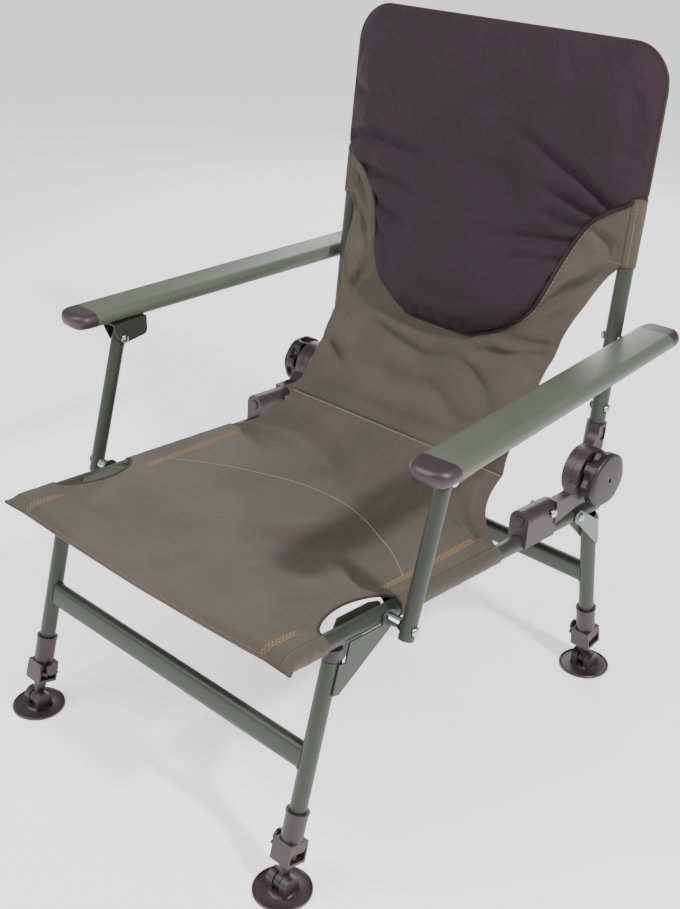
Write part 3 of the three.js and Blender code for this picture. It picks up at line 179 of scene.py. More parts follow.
HINGE = Vector(joints["recline"]["pos_m"])
REAR_PIVOT = Vector(joints["rear_legs_fold"]["pos_m"])
ARM_BOLT = Vector(joints["armrest_left_pivot"]["pos_m"])
SEAT_SLOPE = math.atan2(FRONT_PIVOT.z - REAR_PIVOT.z, REAR_PIVOT.y - FRONT_PIVOT.y)
BACK_LEAN = math.radians(6.6)
SIDES = (("left", 1), ("right", -1))
TUBE_RADIUS = 10
TUBE_WALL = 1.2
TUBE_SIDES = 40
SEAT_HALF_WIDTH = 231.4
PAINT_GREEN = "#373A31"
PAINT_GREEN_DARK = "#2D3029"
PAINT_CLOUD_SIZE = 60
PEEL_SIZE = 1.6
PEEL_DEPTH = 0.15
SHARP_EDGE = math.radians(35)


def turned_frame(origin, angle):
    """A frame at origin, turned about X."""
    return Matrix.Translation(origin) @ Matrix.Rotation(angle, 4, "X")


seat_place = turned_frame(FRONT_PIVOT, -SEAT_SLOPE)
back_place = turned_frame(HINGE, -BACK_LEAN)


def moved(x=0, y=0, z=0):
    """A shift in millimetres."""
    return Matrix.Translation(Vector((x, y, z)) * MM)


def show(name, mesh, place, material, body, slot, *stands_for):
    """Puts a finished mesh in the scene in place of the CAD nodes it stands for. It rides on its body;
    with None for the body it is left unattached."""
    made = bpy.data.objects.new(name, mesh)
    bpy.context.scene.collection.objects.link(made)
    made.matrix_world = place.copy()
    if material and not mesh.materials:
        mesh.materials.append(material)
    if body:
        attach(made, body)
    if stands_for:
        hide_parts(*stands_for)
    return made


def mark_smooth(shell):
    """Smooth shading but for edges sharper than SHARP_EDGE."""
    for face in shell.faces:
        face.smooth = True
    for edge in shell.edges:
        edge.smooth = len(edge.link_faces) == 2 and edge.calc_face_angle(0) < SHARP_EDGE


def mesh_of(name, points, faces):
    """A mesh from points in millimetres, with outward normals."""
    made = bpy.data.meshes.new(name)
    made.from_pydata([tuple(Vector(point) * MM) for point in points], [], faces)
    shell = bmesh.new()
    shell.from_mesh(made)
    bmesh.ops.remove_doubles(shell, verts=shell.verts, dist=0.005 * MM)
    bmesh.ops.recalc_face_normals(shell, faces=shell.faces)
    mark_smooth(shell)
    shell.to_mesh(made)
    shell.free()
    return made


def bridged(rings, close_ends=True, closed_loop=False):
    """Quads between neighbouring rings of points, with a face on each end if asked."""
    count = len(rings[0])
    points = [point for ring in rings for point in ring]
    faces = []
    spans = len(rings) if closed_loop else len(rings) - 1
    for span in range(spans):
        low = span * count
        high = ((span + 1) % len(rings)) * count
        for side in range(count):
            after = (side + 1) % count
            faces.append((low + side, low + after, high + after, high + side))
    if close_ends:
        faces.append(tuple(range(count)))
        faces.append(tuple(range((len(rings) - 1) * count, len(rings) * count)))
    return points, faces


def ring_frames(path, closed=False):
    """Two directions across the path at each of its points, carried along without twisting."""
    frames = []
    across = None
    count = len(path)
    for place, point in enumerate(path):
        before = path[place - 1] if closed or place else path[0]
        after = path[(place + 1) % count] if closed or place < count - 1 else path[-1]
        forward = (after - before).normalized()
        if across is None:
            guide = Vector((1, 0, 0)) if abs(forward.x) < 0.9 else Vector((0, 1, 0))
            across = forward.cross(guide).normalized()
        across = (across - forward * across.dot(forward)).normalized()
        frames.append((point, across, forward.cross(across)))
    return frames


def tube_mesh(name, path, outer, inner=0.0, sides=TUBE_SIDES, closed=False):
    """A round bar, ring or open-ended tube along a path."""
    frames = ring_frames([Vector(point) for point in path], closed)
    turns = [math.tau * side / sides for side in range(sides)]

    def ring(middle, across, up, radius):
        return [
            middle + across * (radius * math.cos(turn)) + up * (radius * math.sin(turn)) for turn in turns
        ]

    rings = [ring(*spot, outer) for spot in frames]
    if inner > 0:
        rings += [ring(*spot, inner) for spot in reversed(frames)]
        return mesh_of(name, *bridged(rings, False, closed_loop=True))
    return mesh_of(name, *bridged(rings, not closed, closed_loop=closed))


def powder_coat(name, colour, dark):
    """Polyester powder coat: low gloss, with the fine orange peel of paint that is melted on."""
    made, tree, output = start_material(name)
    place = add_node(tree, "ShaderNodeTexCoord")
    cloud = add_node(
        tree, "ShaderNodeTexNoise", None,
        {"Vector": place.outputs["Object"], "Scale": 1 / (PAINT_CLOUD_SIZE * MM), "Detail": 3.0},
    )
    tint = add_node(
        tree, "ShaderNodeMix", {"data_type": "RGBA"},
        {0: cloud.outputs["Fac"], 6: linear(dark), 7: linear(colour)},
    )
    peel = add_node(
        tree, "ShaderNodeTexNoise", None,
        {"Vector": place.outputs["Object"], "Scale": 1 / (PEEL_SIZE * MM), "Detail": 1.0},
    )
    bump = add_node(
        tree, "ShaderNodeBump", None,
        {"Height": peel.outputs["Fac"], "Strength": 0.1, "Distance": PEEL_DEPTH * MM},
    )
    rough = add_node(
        tree, "ShaderNodeMapRange", None, {"Value": cloud.outputs["Fac"], "To Min": 0.36, "To Max": 0.48},
    )
    shader = add_node(
        tree,
        "ShaderNodeBsdfPrincipled",
        None,
        {
            "Base Color": tint.outputs[2],
            "Roughness": rough.outputs["Result"],
            "Normal": bump.outputs["Normal"],
            "IOR": 1.5,
        },
    )
    tree.links.new(shader.outputs["BSDF"], output.inputs["Surface"])
    return made


green_coat = powder_coat("dark_green_powder_coated_steel", PAINT_GREEN, PAINT_GREEN_DARK)

SEAT_TUBE_AHEAD = 143
SEAT_TUBE_BEHIND = 414

for side, sign in SIDES:
    path = [(0, -SEAT_TUBE_AHEAD, 0), (0, SEAT_TUBE_BEHIND, 0)]
    show(
        f"seat_rail_{side}", tube_mesh(f"seat_rail_{side}", path, TUBE_RADIUS, TUBE_RADIUS - TUBE_WALL),
        seat_place @ moved(sign * SEAT_HALF_WIDTH), green_coat, "seat_frame", "green_steel",
        f"seat_tube_{side}",
    )

BACK_HALF_WIDTH = 223.4
BACK_SETBACK = 28
BACK_FOOT = 31.3
BACK_TOP = 498
BACK_CORNER = 60
CORNER_STEPS = 16


def back_hoop(foot, corner=BACK_CORNER):
    """Centre line of the back tube from one foot over the top to the other."""
    half = [Vector((BACK_HALF_WIDTH, BACK_SETBACK, foot))]
    for step in range(CORNER_STEPS + 1):
        turn = math.pi / 2 * step / CORNER_STEPS
        x = BACK_HALF_WIDTH - corner * (1 - math.cos(turn))
        height = BACK_TOP - corner * (1 - math.sin(turn))
        half.append(Vector((x, BACK_SETBACK, height)))
    return half + [Vector((-point.x, point.y, point.z)) for point in reversed(half)]


show(
    "back_hoop", tube_mesh("back_hoop", back_hoop(BACK_FOOT), TUBE_RADIUS, TUBE_RADIUS - TUBE_WALL),
    back_place, green_coat, "backrest", "green_steel", "back_frame",
)

# Armrest posts
# Two lighter tubes that stand on the front pivot bolts and carry the fronts of the armrests. They
# stay level with the back, so their lean is that of the crank from the hinge to the armrest bolt.

POST_HALF_SPREAD = 270
POST_RADIUS = 9
POST_BELOW = 13
POST_ABOVE = 9
CRANK_BACK = 47
CRANK_UP = 163
POST_REACH = math.hypot(CRANK_BACK, CRANK_UP)
post_place = turned_frame(FRONT_PIVOT, -math.atan2(CRANK_BACK, CRANK_UP))

for side, sign in SIDES:
    show(
        f"arm_post_{side}",
        tube_mesh(
            f"arm_post_{side}",
            [(0, 0, -POST_BELOW), (0, 0, POST_REACH + POST_ABOVE)],
            POST_RADIUS,
            POST_RADIUS - TUBE_WALL,
        ),
        post_place @ moved(sign * POST_HALF_SPREAD),
        green_coat,
        f"post_{side}",
        "green_steel",
        f"armrest_post_{side}",
    )

# Leg frames
# Each pair of legs is two straight tubes with a flat-oval tube welded between them, fillet welded
# all round and painted over. The front pair leans forward and the rear pair leans back.

FRONT_LEG_UP = Vector(joints["front_left_leg_slide"]["axis"])
REAR_LEG_UP = Vector(joints["rear_left_leg_slide"]["axis"])
ANKLE_HEIGHT = 14
LEG_END = 48
BAR_HEIGHT = 31
BAR_THICKNESS = 16
WELD_RADIUS = 1.8
WELD_SINK = 0.4
WELD_RIPPLE = 0.35
WELD_RIPPLES = 30


def leg_frame_of(pivot, up):
    """The frame of a pair of legs, with its origin at the pivot and Z up the legs, and its lean."""
    lean = math.atan2(-up.y, up.z)
    return turned_frame(pivot, lean), lean


def stadium(width, height, steps=12):
    """Outline of a flat oval, wide along the first axis."""
    radius = height / 2
    reach = (width - height) / 2
    outline = []
    for end in (1, -1):
        for step in range(steps + 1):
            turn = math.pi * (step / steps - 0.5)
            outline.append((end * (reach + radius * math.cos(turn)), end * radius * math.sin(turn)))
    return outline


def along_x(name, outline, low, high):
    """A straight bar with the given (y, z) outline."""
    rings = [[(x, y, z) for y, z in outline] for x in (low, high)]
    return mesh_of(name, *bridged(rings))


def joined_mesh(name, *meshes):
    """Several meshes as one."""
    shell = bmesh.new()
    for mesh in meshes:
        shell.from_mesh(mesh)
    made = bpy.data.meshes.new(name)
    mark_smooth(shell)
    shell.to_mesh(made)
    shell.free()
    return made


# Each pair of legs: its pivot and direction, how far behind the pivot its tubes lie, how far up from
# the ankle its bar is, and where its tubes end
LEG_PAIRS = {
    "front": {
        "pivot": FRONT_PIVOT,
        "up": FRONT_LEG_UP,
        "axis_y": -70,
        "bar_from_ankle": 152,
        "top": -40.7,
    },
    "rear": {
        "pivot": REAR_PIVOT,
        "up": REAR_LEG_UP,
        "axis_y": 38.4,
        "bar_from_ankle": 148,
        "top": -20.9,
    },
}

for end, pair in LEG_PAIRS.items():
    pair["place"], pair["lean"] = leg_frame_of(pair["pivot"], pair["up"])
    lean = pair["lean"]
    drop = pair["pivot"].z / MM + pair["axis_y"] * math.sin(lean) - ANKLE_HEIGHT
    pair["ankle"] = -drop / math.cos(lean)
    bar_z = pair["ankle"] + pair["bar_from_ankle"]
    bar_end = SEAT_HALF_WIDTH - TUBE_RADIUS / 2
    outline = [(z + pair["axis_y"], y + bar_z) for y, z in stadium(BAR_HEIGHT, BAR_THICKNESS)]
    parts = [along_x("bar", outline, -bar_end, bar_end)]
    for side, sign in SIDES:
        x = sign * SEAT_HALF_WIDTH
        low = pair["ankle"] + LEG_END
        path = [(x, pair["axis_y"], low), (x, pair["axis_y"], pair["top"])]
        parts.append(tube_mesh("leg", path, TUBE_RADIUS, TUBE_RADIUS - TUBE_WALL))
        bead = []
        for place, (y, z) in enumerate(outline):
            deep = math.sqrt(TUBE_RADIUS**2 - (y - pair["axis_y"]) ** 2)
            ripple = WELD_RIPPLE * math.sin(WELD_RIPPLES * math.tau * place / len(outline))
            bead.append((sign * (SEAT_HALF_WIDTH - deep - WELD_SINK + ripple), y, z))
        parts.append(tube_mesh("weld", bead, WELD_RADIUS, sides=10, closed=True))
    show(
        f"{end}_legs", joined_mesh(f"{end}_legs", *parts), pair["place"], green_coat, f"{end}_legs",
        "green_steel", f"{end}_leg_frame",
    )

# Bolts and rivets
# Zinc-plated steel pan heads, dome nuts and rivets that join the seat tubes, legs, posts and arms.
# The plating is bright with a faint brushed haze.

BOLT_RADIUS = 3
HEAD_RADIUS = 5.5
HEAD_THICKNESS = 3.6
HEAD_RIM_SHARE = 0.35
NUT_DOME_SHARE = 0.62
TURN_SIDES = 32
HAZE_SIZE = 3
PLATE_BRIGHT = "#C9CBCC"
PLATE_DULL = "#A9ACAE"


def level_ring(half_x, half_y, height, sides):
    """A level ring of points, round or oval."""
    turns = [math.tau * side / sides for side in range(sides)]
    return [(half_x * math.cos(turn), half_y * math.sin(turn), height) for turn in turns]


def turned(name, profile, sides=TURN_SIDES):
    """A body turned about Z from a profile of (radius, height) pairs that starts and ends at the
    axis; a zero radius becomes a point when the mesh is merged."""
    rings = []
    for radius, height in profile:
        reach = max(radius, 0.001)
        rings.append(level_ring(reach, reach, height, sides))
    return mesh_of(name, *bridged(rings, False))


def rounded_profile(radius, low, high, edge, steps=4):
    """Profile of a round disc whose two rims are rounded."""
    profile = [(0, low)]
    for step in range(steps + 1):
        turn = math.pi / 2 * step / steps
        profile.append((radius - edge + edge * math.sin(turn), low + edge - edge * math.cos(turn)))
    for step in range(steps + 1):
        turn = math.pi / 2 * step / steps
        profile.append((radius - edge + edge * math.cos(turn), high - edge + edge * math.sin(turn)))
    return profile + [(0, high)]


def domed_profile(radius, low, high, steps=6):
    """Profile of a rivet or pan head: a short straight rim under a low dome."""
    rim = low + (high - low) * HEAD_RIM_SHARE
    profile = [(0, low), (radius, low), (radius, rim)]
    for step in range(1, steps + 1):
        turn = math.pi / 2 * step / steps
        profile.append((radius * math.cos(turn), rim + (high - rim) * math.sin(turn)))
    return profile


def zinc_plate(name):
    """Bright zinc plate, brushed by handling: a metal with a fine cloudy haze."""
    made, tree, output = start_material(name)
    place = add_node(tree, "ShaderNodeTexCoord")
    haze = add_node(
        tree, "ShaderNodeTexNoise", None,
        {"Vector": place.outputs["Object"], "Scale": 1 / (HAZE_SIZE * MM), "Detail": 4.0},
    )
    tint = add_node(
        tree, "ShaderNodeMix", {"data_type": "RGBA"},
        {0: haze.outputs["Fac"], 6: linear(PLATE_DULL), 7: linear(PLATE_BRIGHT)},
    )
    rough = add_node(
        tree, "ShaderNodeMapRange", None, {"Value": haze.outputs["Fac"], "To Min": 0.16, "To Max": 0.34},
    )
    shader = add_node(
        tree, "ShaderNodeBsdfPrincipled", None,
        {"Base Color": tint.outputs[2], "Roughness": rough.outputs["Result"], "Metallic": 1.0},
    )
    tree.links.new(shader.outputs["BSDF"], output.inputs["Surface"])
    return made


zinc = zinc_plate("bright_zinc_plated_steel")
TO_X = Matrix.Rotation(math.pi / 2, 4, "Y")


def hexagon(radius, low, high):
    """A plain hexagonal nut along Z."""
    return mesh_of("nut", *bridged([level_ring(radius, radius, height, 6) for height in (low, high)]))


def fastener(name, span, heads):
    """A pin along Z with a head at each end. Each head is (near, far, shape): its face on the work,
    its outer face, and "dome" for a pan head or "hex" for a dome nut."""
    low, high = span
    parts = [turned("pin", [(0, low), (BOLT_RADIUS, low), (BOLT_RADIUS, high), (0, high)])]
    for near, far, shape in heads:
        if shape == "hex":
            parts.append(hexagon(HEAD_RADIUS, near, far))
            dome_top = far + math.copysign(BOLT_RADIUS / 3, far - near) + (far - near) / 4
            parts.append(turned("dome", domed_profile(HEAD_RADIUS * NUT_DOME_SHARE, far, dome_top)))
        else:
            parts.append(turned("head", domed_profile(HEAD_RADIUS, near, far)))
    return joined_mesh(name, *parts)


def put_fastener(name, place, span, heads, body, node):
    """Shows a fastener that lies across the chair."""
    return show(name, fastener(name, span, heads), place @ TO_X, zinc, body, "zinc_steel", node)


FLANGE_INNER = 10.6
FLANGE_OUTER = 12.6
FIT = 0.3
SPACER_RADIUS = 7

for side, sign in SIDES:
    nut = FLANGE_OUTER + FIT
    head = POST_HALF_SPREAD + POST_RADIUS + FIT - SEAT_HALF_WIDTH
    place = seat_place @ moved(sign * SEAT_HALF_WIDTH)
    spacer_end = POST_HALF_SPREAD - POST_RADIUS - FIT - SEAT_HALF_WIDTH
    spacer = [(0, nut), (SPACER_RADIUS, nut), (SPACER_RADIUS, spacer_end), (0, spacer_end)]
    spacer = [(radius, sign * height) for radius, height in spacer]
    mesh = turned(f"post_spacer_{side}", spacer)
    show(f"post_spacer_{side}", mesh, place @ TO_X, zinc, "seat_frame", "zinc_steel")
    put_fastener(
        f"front_pivot_bolt_{side}_shown",
        place,
        sorted((-sign * nut, sign * head)),
        [
            (-sign * nut, -sign * (nut + HEAD_THICKNESS), "dome"),
            (sign * head, sign * (head + HEAD_THICKNESS), "dome"),
        ],
        "seat_frame",
        f"front_pivot_bolt_{side}",
    )
    put_fastener(
        f"rear_pivot_rivet_{side}_shown",
        turned_frame(REAR_PIVOT, -SEAT_SLOPE) @ moved(sign * SEAT_HALF_WIDTH), (-nut, nut),
        [(nut, nut + HEAD_THICKNESS, "dome"), (-nut, -nut - HEAD_THICKNESS, "dome")], "seat_frame",
        f"rear_pivot_rivet_{side}",
    )

SOCKET_BOLT_HEIGHT = 77
BOLT_IN_ARM = 4
ARM_SIDE_GAP = 2.6
ARM_INNER_FACE = BACK_HALF_WIDTH + TUBE_RADIUS + ARM_SIDE_GAP
arm_bolt_in_back = back_place.inverted() @ ARM_BOLT

for side, sign in SIDES:
    face = TUBE_RADIUS + FIT
    put_fastener(
        f"socket_bolt_{side}_shown",
        back_place @ moved(sign * BACK_HALF_WIDTH, BACK_SETBACK, SOCKET_BOLT_HEIGHT), (-face, face),
        [(face, face + HEAD_THICKNESS, "dome"), (-face, -face - HEAD_THICKNESS, "dome")], "backrest",
        f"socket_bolt_{side}",
    )
    nut = BACK_HALF_WIDTH - TUBE_RADIUS - FIT
    washer = BACK_HALF_WIDTH + TUBE_RADIUS + FIT
    put_fastener(
        f"armrest_bolt_{side}_shown",
        back_place @ Matrix.Translation(arm_bolt_in_back),
        sorted((sign * nut, sign * (ARM_INNER_FACE + BOLT_IN_ARM))),
        [
            (sign * nut, sign * (nut - HEAD_THICKNESS), "hex"),
            (sign * washer, sign * (washer + ARM_SIDE_GAP - 4 * FIT), "dome"),
        ],
        "backrest",
        f"armrest_bolt_{side}",
    )

# Black mouldings
# Glass-filled nylon from moulds with a fine spark texture: hinge arms, knobs, caps, collars and
# feet are all made of it. It is near black, satin, and a little paler where it is rubbed.

NYLON_BLACK = "#2E2227"
NYLON_RUBBED = "#3B2E33"
# The knobs' two colours are the same nylon darkened with painted shade for their outward faces; their
# paler spots are still rubbed wear
KNOB_SHADED_BLACK = "#181115"
KNOB_RUBBED_AND_SHADED = "#21191D"
GRAIN_SIZE = 0.9
GRAIN_DEPTH = 0.12
WEAR_SIZE = 25
MOULDED_EDGE = 1.6


def moulded_nylon(name, colour, rubbed):
    """Satin black nylon. The spark texture is drawn about three times its real size, so it shows."""
    made, tree, output = start_material(name)
    place = add_node(tree, "ShaderNodeTexCoord")
    grain = add_node(
        tree, "ShaderNodeTexNoise", None,
        {"Vector": place.outputs["Object"], "Scale": 1 / (GRAIN_SIZE * MM), "Detail": 2.0},
    )
    wear = add_node(
        tree, "ShaderNodeTexNoise", None,
        {"Vector": place.outputs["Object"], "Scale": 1 / (WEAR_SIZE * MM), "Detail": 4.0},
    )
    tint = add_node(
        tree, "ShaderNodeMix", {"data_type": "RGBA"},
        {0: wear.outputs["Fac"], 6: linear(colour), 7: linear(rubbed)},
    )
    bump = add_node(
        tree, "ShaderNodeBump", None,
        {"Height": grain.outputs["Fac"], "Strength": 0.25, "Distance": GRAIN_DEPTH * MM},
    )
    rough = add_node(
        tree, "ShaderNodeMapRange", None, {"Value": wear.outputs["Fac"], "To Min": 0.36, "To Max": 0.5},
    )
    shader = add_node(
        tree,
        "ShaderNodeBsdfPrincipled",
        None,
        {
            "Base Color": tint.outputs[2],
            "Roughness": rough.outputs["Result"],
            "Normal": bump.outputs["Normal"],
            "IOR": 1.53,
        },
    )
    tree.links.new(shader.outputs["BSDF"], output.inputs["Surface"])
    return made


nylon = moulded_nylon("black_glass_filled_nylon", NYLON_BLACK, NYLON_RUBBED)
# The knobs get a copy of the nylon darkened with painted shade
shaded_knob_nylon = moulded_nylon("black_nylon_darkened_by_painted_shade_for_the_knobs", KNOB_SHADED_BLACK, KNOB_RUBBED_AND_SHADED)


def rounded_edges(made, width, segments=2):
    """Rounds a piece's sharp edges."""
    bevel = made.modifiers.new("rounded_edges", "BEVEL")
    bevel.width = width * MM
    bevel.segments = segments
    bevel.limit_method = "ANGLE"
    bevel.angle_limit = SHARP_EDGE
    bevel.harden_normals = True
    return made


def boolean_mesh(name, operation, base, *others):
    """Joins meshes to a base, or cuts them out of it, as one clean body."""
    holder = bpy.data.objects.new(name, base)
    bpy.context.scene.collection.objects.link(holder)
    tools = []
    for other in others:
        tool = bpy.data.objects.new(f"{name}_tool", other)
        bpy.context.scene.collection.objects.link(tool)
        step = holder.modifiers.new("step", "BOOLEAN")
        step.operation = operation
        step.solver = "EXACT"
        step.object = tool
        tools.append(tool)
    bpy.context.view_layer.update()
    whole = bpy.data.meshes.new_from_object(holder.evaluated_get(bpy.context.evaluated_depsgraph_get()))
    for spare in [holder, *tools]:
        bpy.data.objects.remove(spare)
    shell = bmesh.new()
    shell.from_mesh(whole)
    bmesh.ops.remove_doubles(shell, verts=shell.verts, dist=0.01 * MM)
    bmesh.ops.dissolve_limit(shell, angle_limit=math.radians(0.5), verts=shell.verts, edges=shell.edges)
    mark_smooth(shell)
    shell.to_mesh(whole)
    shell.free()
    whole.name = name
    return whole


def rod(axis, radius, low, high, middle=(0, 0, 0), sides=TUBE_SIDES):
    """A plain round bar along one axis, used to build and to cut."""
    x, y, z = middle
    ends = {
        "X": ((low, y, z), (high, y, z)),
        "Y": ((x, low, z), (x, high, z)),
        "Z": ((x, y, low), (x, y, high)),
    }
    return tube_mesh("rod", ends[axis], radius, sides=sides)


def block(low, high):
    """A plain block between two corners, used to build and to cut."""
    rings = [
        [(low[0], low[1], z), (high[0], low[1], z), (high[0], high[1], z), (low[0], high[1], z)]
        for z in (low[2], high[2])
    ]
    return mesh_of("block", *bridged(rings))


def along_y(name, outline, low, high):
    """A straight bar with the given (x, z) outline."""
    return mesh_of(name, *bridged([[(x, y, z) for x, z in outline] for y in (low, high)]))


def arc(middle_y, middle_z, radius, start, end, steps):
    """Points of an arc in the (y, z) plane, with its angles in degrees."""
    turns = [math.radians(start + (end - start) * step / steps) for step in range(steps + 1)]
    return [(middle_y + radius * math.cos(turn), middle_z + radius * math.sin(turn)) for turn in turns]


# Hinge arms
# Two nylon mouldings on each side. The lower one saddles the seat tube, and the upper one grips the
# back tube in a socket with a side window. Their round discs meet face to face under the knob.

DISC_RADIUS = 33
DISC_THICKNESS = 10
SADDLE_WALL = 3.5
SADDLE_FRONT = 244.5
SADDLE_REAR = 304
ARCH_CENTRE = 29.5
ARCH_HALF = TUBE_RADIUS + FIT + SADDLE_WALL
SADDLE_SKIRT = 3
ARM_OVERLAP = 0.5
CUT_PAST = 5
DISC_CUT = 6
SCREW_ALONG = 294.4
SCREW_RISE = 30.4
PLUG_RADIUS = 6.5
PLUG_DEPTH = 1.6
PLUG_FIT = 0.4
HINGE_ALONG = 372.6
HINGE_RISE = 59.3
NECK = (330, 44)
SOCKET_RADIUS = TUBE_RADIUS + FIT + 2.5
SOCKET_TOP = 57.5
SOCKET_FLOOR = 24
SOCKET_FLOOR_THICKNESS = 7
SOCKET_WINDOW = (37, 53)
SOCKET_WINDOW_HALF = 6.5
WEB_FILLET = 18
HINGE_FACE = BACK_HALF_WIDTH + SOCKET_RADIUS + FIT / 2
UPPER_DISC = (HINGE_FACE - FIT / 2 - DISC_THICKNESS - SADDLE_WALL, HINGE_FACE - FIT / 2)
LOWER_DISC = (HINGE_FACE + FIT / 2, HINGE_FACE + FIT / 2 + DISC_THICKNESS)
DISC_SIDES = 64


def signed(sign, low, high):
    """A span across the chair, mirrored for the right side."""
    return (low, high) if sign > 0 else (-high, -low)


def on_disc(middle_y, middle_z, degrees):
    """A point just inside a hinge disc's rim, where the arm's web starts or ends."""
    return arc(middle_y, middle_z, DISC_RADIUS - ARM_OVERLAP, degrees, degrees, 1)[0]


def lower_arm(side, sign):
    """The lower arm in the seat's frame, with x from the middle of the seat tube."""
    plate = signed(sign, LOWER_DISC[0] - SEAT_HALF_WIDTH, LOWER_DISC[1] - SEAT_HALF_WIDTH)
    thick = signed(sign, LOWER_DISC[0] - SEAT_HALF_WIDTH - SADDLE_WALL, LOWER_DISC[1] - SEAT_HALF_WIDTH)
    outline = [(-ARCH_HALF, -SADDLE_SKIRT), (ARCH_HALF, -SADDLE_SKIRT)]
    outline += arc(0, ARCH_CENTRE, ARCH_HALF, 0, 180, 24)
    web_top = ARCH_CENTRE + ARCH_HALF - FIT
    web = [
        (SADDLE_REAR - SADDLE_WALL, ARCH_HALF),
        (SADDLE_REAR + SADDLE_WALL, ARCH_HALF),
        on_disc(HINGE_ALONG, HINGE_RISE, -50),
        (HINGE_ALONG, HINGE_RISE),
        on_disc(HINGE_ALONG, HINGE_RISE, 190),
        NECK,
        (SADDLE_REAR, web_top),
        (SADDLE_REAR - SADDLE_WALL, web_top),
    ]
    body = boolean_mesh(
        "body", "UNION", along_y("arch", outline, SADDLE_FRONT, SADDLE_REAR),
        along_x("web", web, *thick),
        rod("X", DISC_RADIUS, *plate, (0, HINGE_ALONG, HINGE_RISE), DISC_SIDES),
    )
    cut_low = UPPER_DISC[0] - SEAT_HALF_WIDTH - DISC_CUT
    cut = signed(sign, cut_low, LOWER_DISC[0] - SEAT_HALF_WIDTH)
    bore = TUBE_RADIUS + FIT
    bore_front = SADDLE_FRONT - CUT_PAST
    return boolean_mesh(
        f"lower_arm_{side}", "DIFFERENCE", body,
        rod("X", DISC_RADIUS + 2 * FIT, *cut, (0, HINGE_ALONG, HINGE_RISE), DISC_SIDES),
        rod("Y", bore, bore_front, SEAT_TUBE_BEHIND, (0, 0, 0)),
        block((-bore, bore_front, -2 * TUBE_RADIUS), (bore, SEAT_TUBE_BEHIND, 0)),
        rod("Y", PLUG_RADIUS + PLUG_FIT, SADDLE_FRONT - 2, SADDLE_FRONT + 1, (0, 0, ARCH_CENTRE)),
    )


def upper_arm(side, sign):
    """The upper arm in the back's frame."""
    disc = signed(sign, *UPPER_DISC)
    x = sign * BACK_HALF_WIDTH
    front = BACK_SETBACK - SOCKET_RADIUS
    fillet_y = front - WEB_FILLET
    fillet_z = math.sqrt((DISC_RADIUS + WEB_FILLET) ** 2 - fillet_y**2)
    fillet_start = -math.degrees(math.atan2(fillet_z, -fillet_y))
    web_top = SOCKET_TOP - 1
    web = arc(fillet_y, fillet_z, WEB_FILLET + 0.4, fillet_start, 0, 12)
    web += [(front + 2, web_top), (BACK_SETBACK, web_top), (BACK_SETBACK, SOCKET_FLOOR)]
    web += [on_disc(0, 0, 15), (0, 0)]
    body = boolean_mesh(
        "body", "UNION", rod("X", DISC_RADIUS, *disc, (0, 0, 0), DISC_SIDES),
        along_x("web", web, disc[0] + FIT, disc[1] - FIT),
        rod("Z", SOCKET_RADIUS, SOCKET_FLOOR, SOCKET_TOP, (x, BACK_SETBACK, 0)),
    )
    bore_low = SOCKET_FLOOR + SOCKET_FLOOR_THICKNESS
    window = signed(sign, BACK_HALF_WIDTH + TUBE_RADIUS - 1, BACK_HALF_WIDTH + SOCKET_RADIUS + 4)
    return boolean_mesh(
        f"upper_arm_{side}",
        "DIFFERENCE",
        body,
        rod("Z", TUBE_RADIUS + FIT, bore_low, SOCKET_TOP + CUT_PAST, (x, BACK_SETBACK, 0)),
        block(
            (window[0], BACK_SETBACK - SOCKET_WINDOW_HALF, SOCKET_WINDOW[0]),
            (window[1], BACK_SETBACK + SOCKET_WINDOW_HALF, SOCKET_WINDOW[1]),
        ),
    )


for side, sign in SIDES:
    place = seat_place @ moved(sign * SEAT_HALF_WIDTH)
    made = show(
        f"lower_arm_{side}", lower_arm(side, sign), place, nylon, "seat_frame", "black_plastic",
        f"hinge_lower_arm_{side}",
    )
    rounded_edges(made, MOULDED_EDGE)
    plug = turned(f"arm_plug_{side}", rounded_profile(PLUG_RADIUS, 0, PLUG_DEPTH + 2, 0.6))
    plug_place = place @ moved(0, SADDLE_FRONT - PLUG_DEPTH, ARCH_CENTRE)
    plug_place = plug_place @ Matrix.Rotation(-math.pi / 2, 4, "X")
    show(f"arm_plug_{side}", plug, plug_place, nylon, "seat_frame", "black_plastic")
    made = show(
        f"upper_arm_{side}", upper_arm(side, sign), back_place, nylon, "backrest", "black_plastic",
        f"hinge_upper_arm_{side}",
    )
    rounded_edges(made, MOULDED_EDGE)
    outer = LOWER_DISC[1] - SEAT_HALF_WIDTH + FIT
    inner = -(ARCH_HALF + FIT)
    put_fastener(
        f"saddle_screw_{side}_shown",
        place @ moved(0, SCREW_ALONG, SCREW_RISE),
        sorted((sign * outer, sign * inner)),
        [
            (sign * outer, sign * (outer + HEAD_THICKNESS), "dome"),
            (sign * inner, sign * (inner - HEAD_THICKNESS), "hex"),
        ],
        "seat_frame",
        f"saddle_screw_{side}",
    )

# Recline knobs
# One seven-lobed nylon grip on each side, moulded over the head of the hinge bolt. The lobes are
# deep and full, the face is slightly domed, and a small blind hole marks the middle.

